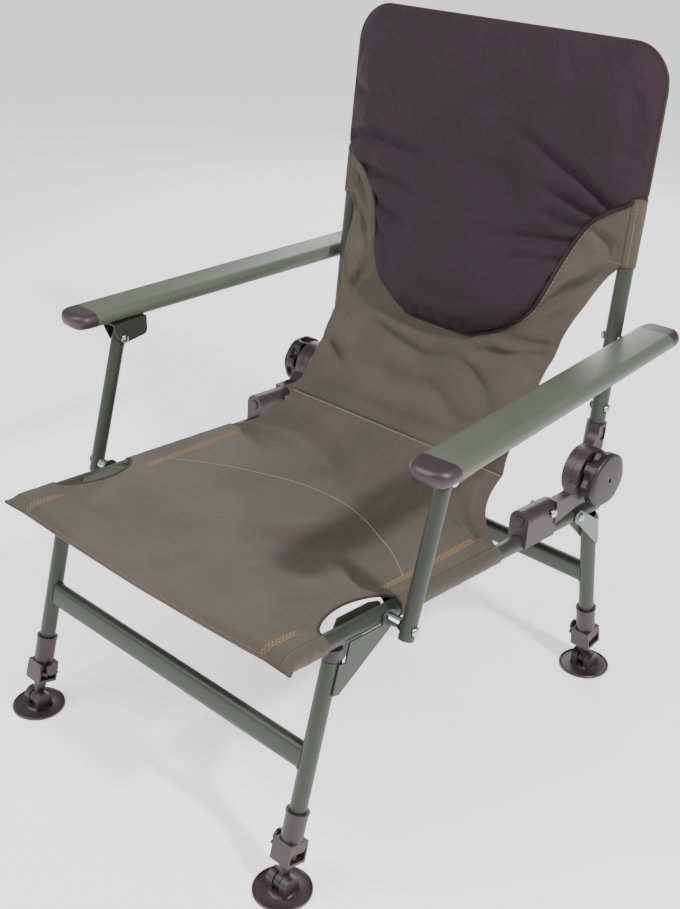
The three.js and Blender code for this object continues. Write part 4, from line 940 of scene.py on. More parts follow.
KNOB_RADIUS = 35
KNOB_THICKNESS = 22
KNOB_LOBES = 7
KNOB_STEPS = 16
KNOB_SIDE_RINGS = 8
KNOB_EDGE_RINGS = 6
KNOB_FACE_RINGS = 6
KNOB_POCKET_DEPTH = 6.5
KNOB_POCKET_SHARE = 0.66
KNOB_POCKET_END = (0.55, 0.85)
KNOB_POCKET_LOST = 0.85
KNOB_BACK_INSET = 8
KNOB_BACK_EDGE = 1.5
KNOB_COLLAR_RADIUS = 21
KNOB_COLLAR_THICKNESS = 4
KNOB_COLLAR_EDGE = 0.8
KNOB_EDGE = 5
KNOB_DOME = 1.2
KNOB_HOLE = 2.6
KNOB_HOLE_DEPTH = 5
HINGE_BOLT_RADIUS = 5
HINGE_NUT_RADIUS = 8.5
HINGE_NUT_THICKNESS = 6.5
HINGE_NUT_LOW = UPPER_DISC[0] - FIT - HINGE_NUT_THICKNESS
HINGE_NUT_EDGE = 0.6


def knob_ring(height, radius, pocket):
    """One outline of the knob; pocket is how deep the finger pockets are at this height."""
    ring = []
    count = KNOB_LOBES * KNOB_STEPS
    for step in range(count):
        turn = math.tau * step / count
        from_pocket = abs((step / KNOB_STEPS + 0.5) % 1 - 0.5) * 2 / KNOB_POCKET_SHARE
        dip = math.cos(math.pi / 2 * min(from_pocket, 1)) ** 0.8
        reach = radius - pocket * dip
        ring.append((reach * math.cos(turn), reach * math.sin(turn), height))
    return ring


def recline_knob(side):
    """The knob with its collar, along Z from the lower arm outwards."""
    collar_low = LOWER_DISC[1] + FIT
    low = collar_low + KNOB_COLLAR_THICKNESS - 2 * FIT
    rings = [
        knob_ring(low, KNOB_RADIUS - KNOB_BACK_INSET, 0),
        knob_ring(low, KNOB_RADIUS - KNOB_BACK_EDGE, KNOB_POCKET_DEPTH),
    ]
    straight = KNOB_THICKNESS - KNOB_EDGE - KNOB_DOME
    for step in range(KNOB_SIDE_RINGS + 1):
        share = step / KNOB_SIDE_RINGS
        fade = min(max((share - KNOB_POCKET_END[0]) / (KNOB_POCKET_END[1] - KNOB_POCKET_END[0]), 0), 1)
        pocket = KNOB_POCKET_DEPTH * (1 - KNOB_POCKET_LOST * fade * fade * (3 - 2 * fade))
        height = low + KNOB_BACK_EDGE + (straight - KNOB_BACK_EDGE) * share
        rings.append(knob_ring(height, KNOB_RADIUS, pocket))
    pocket = KNOB_POCKET_DEPTH * (1 - KNOB_POCKET_LOST)
    for step in range(1, KNOB_EDGE_RINGS + 1):
        turn = math.pi / 2 * step / KNOB_EDGE_RINGS
        height = low + straight + KNOB_EDGE * math.sin(turn)
        rings.append(knob_ring(height, KNOB_RADIUS - KNOB_EDGE * (1 - math.cos(turn)), pocket))
    face = low + straight + KNOB_EDGE
    for step in range(1, KNOB_FACE_RINGS):
        share = step / KNOB_FACE_RINGS
        radius = (KNOB_RADIUS - KNOB_EDGE) * (1 - share) + KNOB_HOLE * share
        rings.append(knob_ring(face + KNOB_DOME * (1 - (1 - share) ** 2), radius, 0))
    rings.append(knob_ring(face + KNOB_DOME, KNOB_HOLE, 0))
    rings.append(knob_ring(face - KNOB_HOLE_DEPTH, KNOB_HOLE, 0))
    shank = [(0, HINGE_NUT_LOW), (HINGE_BOLT_RADIUS, HINGE_NUT_LOW), (HINGE_BOLT_RADIUS, low), (0, low)]
    return joined_mesh(
        f"knob_{side}", mesh_of("grip", *bridged(rings)),
        turned("collar", rounded_profile(KNOB_COLLAR_RADIUS, collar_low, low + 1, KNOB_COLLAR_EDGE), 48),
        turned("shank", shank),
    )


for side, sign in SIDES:
    face_out = Matrix.Rotation(math.pi / 2 * sign, 4, "Y")
    knob_place = Matrix.Translation(HINGE) @ face_out
    show(
        f"knob_{side}", recline_knob(side), knob_place, shaded_knob_nylon, f"knob_{side}", "black_plastic",
        f"recline_knob_{side}",
    )
    mesh = hexagon(HINGE_NUT_RADIUS, HINGE_NUT_LOW, HINGE_NUT_LOW + HINGE_NUT_THICKNESS)
    nut = show(f"hinge_nut_{side}", mesh, knob_place, zinc, f"knob_{side}", "zinc_steel")
    rounded_edges(nut, HINGE_NUT_EDGE)

# Armrests
# Flat-oval aluminium tube, powder-coated a lighter grey-green, with smoothly rounded nylon end caps
# pushed in. A folded steel channel under the front of each one holds the post by a rivet.

ARM_WIDTH = 54
ARM_THICKNESS = 20
ARM_WALL = 1.8
ARM_AHEAD = 440
ARM_BEHIND = 62
CAP_LENGTH = 30
CAP_SKIRT = 8
CAP_SINK = 0.4
CAP_SQUARENESS = 2.4
CAP_FLAT_SHARE = 0.45
ARM_TOE = math.radians(3.6)
ARM_RISE = math.radians(0.7)
ARM_GREEN = "#595D51"
ARM_GREEN_DARK = "#505449"
CHANNEL_SHEET = 2
CHANNEL_AHEAD = 14
CHANNEL_BEHIND = 38
CHANNEL_SIDE = 0.7
CHANNEL_LUG = 7.5
CHANNEL_EDGE = 0.6
CAP_STEPS = 10
OVAL_STEPS = 14

arm_coat = powder_coat("grey_green_powder_coated_aluminium", ARM_GREEN, ARM_GREEN_DARK)


def arm_cap(name):
    """An end cap that points to -Y: a short skirt, then a rounded nose."""
    reach = CAP_LENGTH - CAP_SKIRT

    def ring(y, half_width, half_height):
        return [(x, y, z) for x, z in stadium(2 * half_width, 2 * half_height, OVAL_STEPS)]

    rings = [
        ring(-FIT, ARM_WIDTH / 2 - CAP_SINK, ARM_THICKNESS / 2 - CAP_SINK),
        ring(-2 * FIT, ARM_WIDTH / 2, ARM_THICKNESS / 2),
    ]
    for step in range(CAP_STEPS + 1):
        share = min(math.sin(math.pi / 2 * step / CAP_STEPS), 0.9995)
        flat = max((share - CAP_FLAT_SHARE) / (1 - CAP_FLAT_SHARE), 0)
        wide = (1 - share**CAP_SQUARENESS) ** (1 / CAP_SQUARENESS)
        high = (1 - flat**CAP_SQUARENESS) ** (1 / CAP_SQUARENESS)
        half_height = ARM_THICKNESS / 2 * high
        half_width = max(ARM_WIDTH / 2 * wide, half_height + 0.1)
        rings.append(ring(-CAP_SKIRT - reach * share, half_width, half_height))
    return mesh_of(name, *bridged(rings))


for side, sign in SIDES:
    arm_place = Matrix.Translation(ARM_BOLT) @ moved(sign * (ARM_INNER_FACE + ARM_WIDTH / 2))
    arm_place = arm_place @ Matrix.Rotation(sign * ARM_TOE, 4, "Z") @ Matrix.Rotation(ARM_RISE, 4, "X")
    front = -ARM_AHEAD + CAP_LENGTH
    rear = ARM_BEHIND - CAP_LENGTH
    outer_line = stadium(ARM_WIDTH, ARM_THICKNESS, OVAL_STEPS)
    inner_line = stadium(ARM_WIDTH - 2 * ARM_WALL, ARM_THICKNESS - 2 * ARM_WALL, OVAL_STEPS)
    rings = [[(x, y, z) for x, z in outer_line] for y in (front, rear)]
    rings += [[(x, y, z) for x, z in inner_line] for y in (rear, front)]
    mesh = mesh_of(f"arm_{side}", *bridged(rings, False, closed_loop=True))
    arm = f"armrest_{side}"
    show(f"arm_{side}", mesh, arm_place, arm_coat, arm, "armrest_alloy", arm)
    for end, joint, turn in (("front", front, 0), ("rear", rear, math.pi)):
        show(
            f"arm_cap_{end}_{side}", arm_cap(f"arm_cap_{end}_{side}"),
            arm_place @ moved(0, joint) @ Matrix.Rotation(turn, 4, "Z"), nylon, f"armrest_{side}",
            "black_plastic", f"armrest_cap_{end}_{side}",
        )

POST_RIVET = FRONT_PIVOT + Vector((0, CRANK_BACK, CRANK_UP)) * MM
arm_height = ARM_BOLT.z - POST_RIVET.z + (POST_RIVET.y - ARM_BOLT.y) * math.tan(ARM_RISE)
underside = arm_height / MM - ARM_THICKNESS / 2
channel_top = underside - 1.5 * FIT
channel_inside = POST_RADIUS + CHANNEL_SIDE
channel_outside = channel_inside + CHANNEL_SHEET

for side, sign in SIDES:
    flange = [(-CHANNEL_AHEAD, channel_top), (-CHANNEL_AHEAD, channel_top - CHANNEL_LUG)]
    flange += arc(0, 0, CHANNEL_LUG, 200, 290, 12)
    flange += [(CHANNEL_BEHIND - CHANNEL_LUG, -CHANNEL_LUG / 2)]
    flange += arc(CHANNEL_BEHIND - CHANNEL_LUG, CHANNEL_LUG / 2, CHANNEL_LUG, -75, 0, 8)
    flange += [(CHANNEL_BEHIND, channel_top)]
    channel = boolean_mesh(
        f"arm_channel_{side}",
        "UNION",
        along_x("flange", flange, channel_inside, channel_outside),
        along_x("flange", flange, -channel_outside, -channel_inside),
        block(
            (-channel_outside, -CHANNEL_AHEAD, channel_top - CHANNEL_SHEET),
            (channel_outside, CHANNEL_BEHIND, channel_top),
        ),
    )
    channel_place = Matrix.Translation(POST_RIVET) @ moved(sign * POST_HALF_SPREAD)
    channel_place = channel_place @ Matrix.Rotation(ARM_RISE, 4, "X")
    made = show(
        f"arm_channel_{side}", channel, channel_place, green_coat, f"armrest_{side}", "green_steel",
        f"armrest_bracket_{side}",
    )
    rounded_edges(made, CHANNEL_EDGE)
    face = channel_outside + FIT
    put_fastener(
        f"post_rivet_{side}_shown", channel_place, (-face, face),
        [(face, face + HEAD_THICKNESS, "dome"), (-face, -face - HEAD_THICKNESS, "dome")],
        f"armrest_{side}", f"post_rivet_{side}",
    )

# Leg brackets
# Each leg is held to its seat tube by a folded 2 mm steel bracket that wraps the leg and is spot
# welded to it. The front ones are painted with the legs, and the rear ones a lighter grey.

FRONT_LUG = 11
REAR_LUG = 9.5
FRONT_WRAP = (-41, -78)
REAR_WRAP = (-26, -65)
INNER_FLANGE_RISE = 13
OUTER_FLANGE_DROP = 4
WRAP_STEPS = 20
BRACKET_EDGE = 0.7
COAT_GREY = "#7B7E7B"
COAT_GREY_DARK = "#6C6F6D"

grey_coat = powder_coat("grey_powder_coated_steel", COAT_GREY, COAT_GREY_DARK)


def half_wrap(axis_y, top, bottom):
    """Half a ring of sheet round the rear of a leg."""
    turns = [math.pi * step / WRAP_STEPS for step in range(WRAP_STEPS + 1)]
    section = []
    for radius, way in ((FLANGE_OUTER, turns), (FLANGE_INNER, turns[::-1])):
        section += [(radius * math.cos(turn), radius * math.sin(turn)) for turn in way]
    return mesh_of("wrap", *bridged([[(x, axis_y + y, z) for x, y in section] for z in (bottom, top)]))


def front_bracket(name, sign):
    """The wrap with a long flange on each side, up to the pivot."""
    axis_y = LEG_PAIRS["front"]["axis_y"]
    top, bottom = FRONT_WRAP
    leg_rear = axis_y + TUBE_RADIUS
    rise = math.tan(-SEAT_SLOPE - LEG_PAIRS["front"]["lean"])
    outer = arc(0, 0, FRONT_LUG, -45, 170, 20)
    outer += [(y, y * rise - OUTER_FLANGE_DROP) for y in (-FRONT_LUG, leg_rear)]
    outer += [(leg_rear, top), (axis_y, top), (axis_y, bottom), (leg_rear, bottom)]
    inner = arc(0, 0, FRONT_LUG, -45, 60, 12)
    inner += [(y, y * rise + INNER_FLANGE_RISE) for y in (-FRONT_LUG, leg_rear)]
    inner += [(axis_y, top), (axis_y, bottom), (leg_rear, bottom)]
    return boolean_mesh(
        name, "UNION", half_wrap(axis_y, top, bottom),
        along_x("flange", outer, *signed(sign, FLANGE_INNER, FLANGE_OUTER)),
        along_x("flange", inner, *signed(sign, -FLANGE_OUTER, -FLANGE_INNER)),
    )


def rear_bracket(name):
    """The wrap with a short rounded flange on each side."""
    axis_y = LEG_PAIRS["rear"]["axis_y"]
    top, bottom = REAR_WRAP
    flange = arc(0, 0, REAR_LUG, 75, 255, 20)
    flange += [(axis_y, bottom), (axis_y + 1, bottom), (axis_y + 1, top)]
    return boolean_mesh(
        name, "UNION", half_wrap(axis_y, top, bottom),
        along_x("flange", flange, FLANGE_INNER, FLANGE_OUTER),
        along_x("flange", flange, -FLANGE_OUTER, -FLANGE_INNER),
    )


for end, pair in LEG_PAIRS.items():
    for side, sign in SIDES:
        name = f"{end}_bracket_{side}"
        mesh = front_bracket(name, sign) if end == "front" else rear_bracket(name)
        made = show(
            name, mesh, pair["place"] @ moved(sign * SEAT_HALF_WIDTH),
            green_coat if end == "front" else grey_coat, f"{end}_legs",
            "green_steel" if end == "front" else "grey_steel", f"{end}_leg_bracket_{side}",
        )
        rounded_edges(made, BRACKET_EDGE)

# Front leg plugs
# A moulded nylon plug closes the top of each front leg. Its slanting face stops just short of the
# seat tube that it bears on under load.

PLUG_TOP_GAP = 0.3
PLUG_EDGE = 0.8
front = LEG_PAIRS["front"]
plug_tilt = -SEAT_SLOPE - front["lean"]
plug_top = front["axis_y"] * math.tan(plug_tilt) - (TUBE_RADIUS + PLUG_TOP_GAP) / math.cos(plug_tilt)
plug_shoulder = FRONT_WRAP[0] + 2 * FIT

for side, sign in SIDES:
    low_ring = level_ring(TUBE_RADIUS, TUBE_RADIUS, plug_shoulder, TUBE_SIDES)
    high_ring = [(x, y, plug_top + y * math.tan(plug_tilt)) for x, y, z in low_ring]
    made = show(
        f"front_leg_plug_{side}", mesh_of("plug", *bridged([low_ring, high_ring])),
        front["place"] @ moved(sign * SEAT_HALF_WIDTH, front["axis_y"]), nylon, "front_legs",
        "black_plastic", f"leg_plug_{side}",
    )
    rounded_edges(made, PLUG_EDGE)

# Leg collars and jam levers
# A nylon collar is pressed on each leg's end. A sprung plate tilts in its slot and bites on the
# inner leg until its round thumb tab is pushed down; the brass-coloured spring sits under the plate.

COLLAR_WALL = 2.5
COLLAR_TOP = 90
COLLAR_BLOCK = (27, 50)
COLLAR_HALF = 14
COLLAR_CHAMFER = 4.5
COLLAR_BEAD = 0.8
COLLAR_BEAD_HEIGHT = 3
COLLAR_EDGE = 0.7
SLOT = (31, 45)
SLOT_HALF = 11.5
INNER_LEG_RADIUS = 7.8
LEVER_HIGH = SLOT[1] - 1
LEVER_LOW = LEVER_HIGH - 3
LEVER_HOLE = INNER_LEG_RADIUS + 1
LEVER_OUTSIDE = 13
LEVER_TAB = 20.5
LEVER_TAB_THICKNESS = 4
LEVER_TAB_RADIUS = 8
LEVER_TAB_HEIGHT = 48
SPRING_RADIUS = INNER_LEG_RADIUS + 1.4
SPRING_WIRE = 0.7
SPRING_TURNS = 4
SPRING_STEPS = 20
TARNISH_SIZE = 2
BRASS_LIGHT = "#B99A55"
BRASS_DARK = "#8E7340"


def spring_brass(name):
    """Drawn brass-plated spring wire, slightly tarnished."""
    made, tree, output = start_material(name)
    place = add_node(tree, "ShaderNodeTexCoord")
    tarnish = add_node(
        tree, "ShaderNodeTexNoise", None,
        {"Vector": place.outputs["Object"], "Scale": 1 / (TARNISH_SIZE * MM), "Detail": 3.0},
    )
    tint = add_node(
        tree, "ShaderNodeMix", {"data_type": "RGBA"},
        {0: tarnish.outputs["Fac"], 6: linear(BRASS_DARK), 7: linear(BRASS_LIGHT)},
    )
    shader = add_node(
        tree, "ShaderNodeBsdfPrincipled", None,
        {"Base Color": tint.outputs[2], "Roughness": 0.3, "Metallic": 1.0},
    )
    tree.links.new(shader.outputs["BSDF"], output.inputs["Surface"])
    return made


brass = spring_brass("brass_plated_spring_wire")


def collar_mesh(name):
    """The collar round the end of a leg, with its slot, along Z from the ankle."""
    outer = TUBE_RADIUS + FIT + COLLAR_WALL
    low, high = COLLAR_BLOCK
    outline = [(-COLLAR_HALF, low), (COLLAR_HALF, low), (COLLAR_HALF, high - COLLAR_CHAMFER)]
    outline += [(outer, high + COLLAR_CHAMFER), (-outer, high + COLLAR_CHAMFER)]
    outline += [(-COLLAR_HALF, high - COLLAR_CHAMFER)]
    body = boolean_mesh(
        "body", "UNION", rod("Z", outer, low + 6, COLLAR_TOP),
        along_y("block", outline, -COLLAR_HALF, COLLAR_HALF),
        rod("Z", outer + COLLAR_BEAD, COLLAR_TOP - COLLAR_BEAD_HEIGHT, COLLAR_TOP),
    )
    return boolean_mesh(
        name, "DIFFERENCE", body, rod("Z", TUBE_RADIUS + FIT, LEG_END - FIT, COLLAR_TOP + CUT_PAST),
        rod("Z", INNER_LEG_RADIUS + FIT, low - CUT_PAST, LEG_END),
        block((-2 * COLLAR_HALF, -SLOT_HALF, SLOT[0]), (2 * COLLAR_HALF, SLOT_HALF, SLOT[1])),
    )


def lever_mesh(name, sign):
    """The jam plate with its thumb tab on the inner side of the leg."""
    half = SLOT_HALF - 2 * FIT
    tab = signed(-sign, LEVER_TAB - LEVER_TAB_THICKNESS, LEVER_TAB)
    plate = signed(-sign, -LEVER_OUTSIDE, LEVER_TAB - 1)
    body = boolean_mesh(
        "body", "UNION", block((plate[0], -half, LEVER_LOW), (plate[1], half, LEVER_HIGH)),
        rod("X", LEVER_TAB_RADIUS, *tab, (0, 0, LEVER_TAB_HEIGHT)),
    )
    hole = rod("Z", LEVER_HOLE, LEVER_LOW - 4, LEVER_HIGH + 4)
    return boolean_mesh(name, "DIFFERENCE", body, hole)


def spring_mesh(name):
    """Open coils round the inner leg, between the slot's floor and the plate."""
    path = []
    count = SPRING_TURNS * SPRING_STEPS
    height = LEVER_LOW - SLOT[0] - 2 * SPRING_WIRE
    for step in range(count + 1):
        turn = math.tau * step / SPRING_STEPS
        rise = SLOT[0] + SPRING_WIRE + height * step / count
        path.append((SPRING_RADIUS * math.cos(turn), SPRING_RADIUS * math.sin(turn), rise))
    return tube_mesh(name, path, SPRING_WIRE, sides=8)


# Inner legs and feet
# Black steel inner legs slide in the collars and end in a flat eye. Each round mud foot is a nylon
# disc with a raised rim and two rounded cheeks that hold the eye on a pin.

INNER_LEG_LENGTH = 215
EYE_RADIUS = 10.4
EYE_HALF = 5
EYE_EDGE = 0.8
NECK_SHARE = 0.6
NECK_STEPS = 8
NECK_LENGTH = 10
NECK_START = 4
CHEEK_RADIUS = 11
CHEEK_WIDTH = 9.6
CHEEK_FLARE = 1.5
CHEEK_FLARE_HEIGHT = 3
FOOT_RADIUS = 34.2
FOOT_THICKNESS = 3.4
FOOT_RIM = 1.6
FOOT_HUB = 15
FOOT_HUB_RISE = 1.8
FOOT_EDGE = 0.8
FOOT_DISH = 0.6
FOOT_SIDES = 64
CHEEK_EDGE = 0.6
PIN_RADIUS = BOLT_RADIUS + 0.6
PIN_SINK = 0.5
PIN_END_THICKNESS = 0.2
COAT_BLACK = "#29292B"
COAT_BLACK_DARK = "#202022"

black_coat = powder_coat("black_powder_coated_steel", COAT_BLACK, COAT_BLACK_DARK)


def inner_leg_mesh(name):
    """The sliding tube with its flattened eye; the tube's neck narrows to the eye's thickness."""
    neck = CHEEK_RADIUS + 2 * FIT
    neck_half = EYE_RADIUS * NECK_SHARE
    rings = []
    for step in range(NECK_STEPS + 1):
        share = step / NECK_STEPS
        flat = EYE_HALF + (INNER_LEG_RADIUS - EYE_HALF) * share
        wide = neck_half + (INNER_LEG_RADIUS - neck_half) * share
        rings.append(level_ring(flat, wide, neck - NECK_START + NECK_LENGTH * share, TUBE_SIDES))
    rings.append([(x, y, INNER_LEG_LENGTH) for x, y, z in rings[-1]])
    eye_rings = []
    for x in (-EYE_HALF, -EYE_HALF + EYE_EDGE, EYE_HALF - EYE_EDGE, EYE_HALF):
        reach = EYE_RADIUS - EYE_EDGE if abs(x) == EYE_HALF else EYE_RADIUS
        eye_rings.append([(x, y, z) for y, z, _ in level_ring(reach, reach, 0, TUBE_SIDES)])
    return joined_mesh(name, mesh_of("leg", *bridged(rings)), mesh_of("eye", *bridged(eye_rings)))


def foot_mesh(name):
    """The mud disc with its cheeks and the pin's sunk ends; Z is up from the ankle."""
    floor_level = -ANKLE_HEIGHT
    rim_top = floor_level + FOOT_THICKNESS + FOOT_RIM / 2
    plate_top = floor_level + FOOT_THICKNESS
    disc = turned(
        "disc",
        [
            (0, floor_level),
            (FOOT_RADIUS - FOOT_EDGE, floor_level),
            (FOOT_RADIUS, floor_level + FOOT_EDGE),
            (FOOT_RADIUS, rim_top - FOOT_EDGE),
            (FOOT_RADIUS - FOOT_EDGE, rim_top),
            (FOOT_RADIUS - FOOT_RIM, rim_top),
            (FOOT_RADIUS - 2 * FOOT_RIM, plate_top - FOOT_DISH),
            (FOOT_HUB + 3, plate_top - FOOT_DISH),
            (FOOT_HUB + 1.5, plate_top + 0.4),
            (FOOT_HUB, plate_top + FOOT_HUB_RISE),
            (0, plate_top + FOOT_HUB_RISE),
        ],
        FOOT_SIDES,
    )
    parts = [disc]
    cheek_inner = EYE_HALF + 2 * FIT
    cheek_foot = (CHEEK_RADIUS + CHEEK_FLARE, plate_top + 0.2)
    cheek_waist = (CHEEK_RADIUS, plate_top + CHEEK_FLARE_HEIGHT)
    for cheek_sign in (1, -1):
        outline = [(-y, z) for y, z in (cheek_foot, cheek_waist)]
        outline += arc(0, 0, CHEEK_RADIUS, 180, 0, 24) + [cheek_waist, cheek_foot]
        span = signed(cheek_sign, cheek_inner, cheek_inner + CHEEK_WIDTH)
        parts.append(along_x("cheek", outline, *span))
        pin_end = cheek_sign * (cheek_inner + CHEEK_WIDTH - PIN_SINK)
        pin_span = sorted((pin_end, pin_end + cheek_sign * PIN_END_THICKNESS))
        parts.append(rod("X", PIN_RADIUS, *pin_span))
    return joined_mesh(name, *parts)


for end, pair in LEG_PAIRS.items():
    for side, sign in SIDES:
        ankle = pair["place"] @ moved(sign * SEAT_HALF_WIDTH, pair["axis_y"], pair["ankle"])
        made = show(
            f"{end}_leg_collar_{side}", collar_mesh(f"{end}_leg_collar_{side}"), ankle, nylon,
            f"{end}_legs", "black_plastic", f"{end}_collar_{side}",
        )
        rounded_edges(made, COLLAR_EDGE)
        mesh = spring_mesh("spring")
        spring = show(f"{end}_spring_{side}", mesh, ankle, brass, f"{end}_legs", "zinc_steel")
        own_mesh(spring)
        made = show(
            f"{end}_jam_lever_{side}", lever_mesh(f"{end}_jam_lever_{side}", sign), ankle, nylon,
            f"{end}_lever_{side}", "black_plastic", f"{end}_lever_{side}",
        )
        rounded_edges(made, COLLAR_EDGE)
        show(
            f"{end}_inner_tube_{side}", inner_leg_mesh(f"{end}_inner_tube_{side}"), ankle, black_coat,
            f"{end}_inner_leg_{side}", "black_steel", f"{end}_inner_leg_{side}",
        )
        made = show(
            f"{end}_mud_foot_{side}", foot_mesh(f"{end}_mud_foot_{side}"),
            Matrix.Translation(ankle.translation), nylon, f"{end}_foot_{side}", "black_plastic",
            f"{end}_foot_{side}",
        )
        rounded_edges(made, CHEEK_EDGE)

# Seat cloth
# One panel of coated olive polyester, sewn into a sleeve round each seat tube at the front and at
# the rear and cut away between them. The front sleeves run on past the tubes as flat corners.

CLOTH_THICKNESS = 1.2
SLEEVE_RADIUS = 11.1
HEM_FRONT = -156
FRONT_SLEEVE_END = -92.8
REAR_SLEEVE = (22, 201.5)
SEAM_ALONG = 272.7
SEAM_RISE = 63.7
SEAM_HALF_WIDTH = 181
SLEEVE_CUT_DEPTH = 28
SLEEVE_STITCH = 208
HEM_HEIGHT = -5
DEEP_HEIGHT = -7
SEAT_RUFFLE = 1.3
SEAT_RUFFLE_SIZE = 120
SLEEVE_RUFFLE = 0.5
SLEEVE_LAP = 0.9
STITCH_TUCK = 1.4
CREASE_END = 258
EAR_LENGTH = 14
EAR_TIP = 249
SEAT_CELLS = (130, 126)
OLIVE = "#544D42"
OLIVE_DARK = "#484238"
OLIVE_DUSTY = "#696052"
BINDING_OLIVE = "#3A3229"
THREAD_OCHRE = "#8C7234"
THREAD_PALE = "#8E8664"
THREAD_BROWN = "#857762"
THREAD_SPACING = 1.1
WAVE_RATE = 20
THREAD_RELIEF = 0.3
CLOTH_CLOUD_SIZE = 90
FLECK_SIZE = 1.5
PUCKER_SIZE = 26
PUCKER_DEPTH = 3.0
BINDING_RADIUS = 1.7


def eased(low, high, value):
    """Smooth step from 0 at low to 1 at high."""
    share = min(max((value - low) / (high - low), 0), 1)
    return share * share * (3 - 2 * share)


def through(stations, place):
    """A smooth line through (place, value) stations, level past both ends."""
    places = [station[0] for station in stations]
    values = [station[1] for station in stations]
    if place <= places[0]:
        return values[0]
    if place >= places[-1]:
        return values[-1]
    index = max(i for i, low in enumerate(places) if low <= place)
    slopes = []
    for i in (index, index + 1):
        before = max(i - 1, 0)
        after = min(i + 1, len(places) - 1)
        slopes.append((values[after] - values[before]) / (places[after] - places[before]))
    span = places[index + 1] - places[index]
    t = (place - places[index]) / span
    return (
        (2 * t**3 - 3 * t**2 + 1) * values[index]
        + (t**3 - 2 * t**2 + t) * span * slopes[0]
        + (3 * t**2 - 2 * t**3) * values[index + 1]
        + (t**3 - t**2) * span * slopes[1]
    )


def creased(x, along, creases):
    """How deep the creases press in at a spot. Each crease is a line of spots, a width, and its
    depth at the first spot and half way; it widens and dies out towards the last spot. A negative
    depth makes a ridge."""
    pressed = 0
    for spots, width, first_depth, middle_depth in creases:
        lengths = [math.dist(start, end) for start, end in zip(spots, spots[1:])]
        nearest = (width * 6, 1)
        run_before = 0
        for (start, end), length in zip(zip(spots, spots[1:]), lengths):
            run = (end[0] - start[0], end[1] - start[1])
            share = ((x - start[0]) * run[0] + (along - start[1]) * run[1]) / length**2
            share = min(max(share, 0), 1)
            away = math.hypot(x - start[0] - share * run[0], along - start[1] - share * run[1])
            nearest = min(nearest, (away, (run_before + share * length) / sum(lengths)))
            run_before += length
        away, way = nearest
        depth = first_depth * (1 - way) ** 1.5 + middle_depth * math.sin(math.pi * way)
        pressed += depth * math.exp(-((away / (width * (0.8 + 0.6 * way))) ** 2))
    return pressed


def ruffle(x, along, size, seed):
    """Slow uneven waves, between about -1 and 1, some size millimetres long."""
    return noise.fractal(Vector((x / size, along / size, seed)), 1.0, 2.0, 3)


def woven_polyester(name, colour, dark, dusty, sheen=0.12):
    """Coated polyester in a plain weave, with a soft waxy sheen and fine paler flecks. The threads
    are drawn about twice as coarse as the real 0.5 mm, so that they show."""
    made, tree, output = start_material(name)
    place = add_node(tree, "ShaderNodeTexCoord")
    waves = []
    for direction in ("X", "Y"):
        waves.append(
            add_node(
                tree,
                "ShaderNodeTexWave",
                {"bands_direction": direction},
                {
                    "Vector": place.outputs["UV"],
                    "Scale": math.tau / (WAVE_RATE * THREAD_SPACING * MM),
                    "Distortion": 0.8,
                    "Detail": 1.0,
                },
            )
        )
    weave = add_node(
        tree, "ShaderNodeMath", {"operation": "MAXIMUM"},
        {0: waves[0].outputs["Fac"], 1: waves[1].outputs["Fac"]},
    )
    cloud = add_node(
        tree,
        "ShaderNodeTexNoise",
        None,
        {
            "Vector": place.outputs["Object"],
            "Scale": 1 / (CLOTH_CLOUD_SIZE * MM),
            "Detail": 5.0,
            "Roughness": 0.6,
        },
    )
    spread = add_node(
        tree, "ShaderNodeMapRange", None,
        {"Value": cloud.outputs["Fac"], "From Min": 0.3, "From Max": 0.7},
    )
    base = add_node(
        tree, "ShaderNodeMix", {"data_type": "RGBA"},
        {0: spread.outputs["Result"], 6: linear(dark), 7: linear(colour)},
    )
    fleck = add_node(
        tree, "ShaderNodeTexNoise", None,
        {"Vector": place.outputs["Object"], "Scale": 1 / (FLECK_SIZE * MM), "Detail": 2.0},
    )
    dust = add_node(
        tree, "ShaderNodeMapRange", None,
        {"Value": fleck.outputs["Fac"], "From Min": 0.45, "From Max": 0.8, "To Max": 0.45},
    )
    tint = add_node(
        tree, "ShaderNodeMix", {"data_type": "RGBA"},
        {0: dust.outputs["Result"], 6: base.outputs[2], 7: linear(dusty)},
    )
    thread_bump = add_node(
        tree, "ShaderNodeBump", None,
        {"Height": weave.outputs["Value"], "Strength": 1.0, "Distance": THREAD_RELIEF * MM},
    )
    pucker = add_node(
        tree,
        "ShaderNodeTexNoise",
        None,
        {
            "Vector": place.outputs["Object"],
            "Scale": 1 / (PUCKER_SIZE * MM),
            "Detail": 4.0,
            "Roughness": 0.55,
        },
    )
    bump = add_node(
        tree,
        "ShaderNodeBump",
        None,
        {
            "Height": pucker.outputs["Fac"],
            "Strength": 0.3,
            "Distance": PUCKER_DEPTH * MM,
            "Normal": thread_bump.outputs["Normal"],
        },
    )
    shader = add_node(
        tree,
        "ShaderNodeBsdfPrincipled",
        None,
        {
            "Base Color": tint.outputs[2],
            "Roughness": 0.7,
            "Specular IOR Level": 0.25,
            "Sheen Weight": sheen,
            "Sheen Roughness": 0.45,
            "Normal": bump.outputs["Normal"],
        },
    )
    tree.links.new(shader.outputs["BSDF"], output.inputs["Surface"])
    return made


def sewing_thread(name, colour):
    """Bonded polyester sewing thread."""
    made, tree, output = start_material(name)
    shader = add_node(
        tree, "ShaderNodeBsdfPrincipled", None,
        {"Base Color": linear(colour), "Roughness": 0.55, "Sheen Weight": 0.3},
    )
    tree.links.new(shader.outputs["BSDF"], output.inputs["Surface"])
    return made


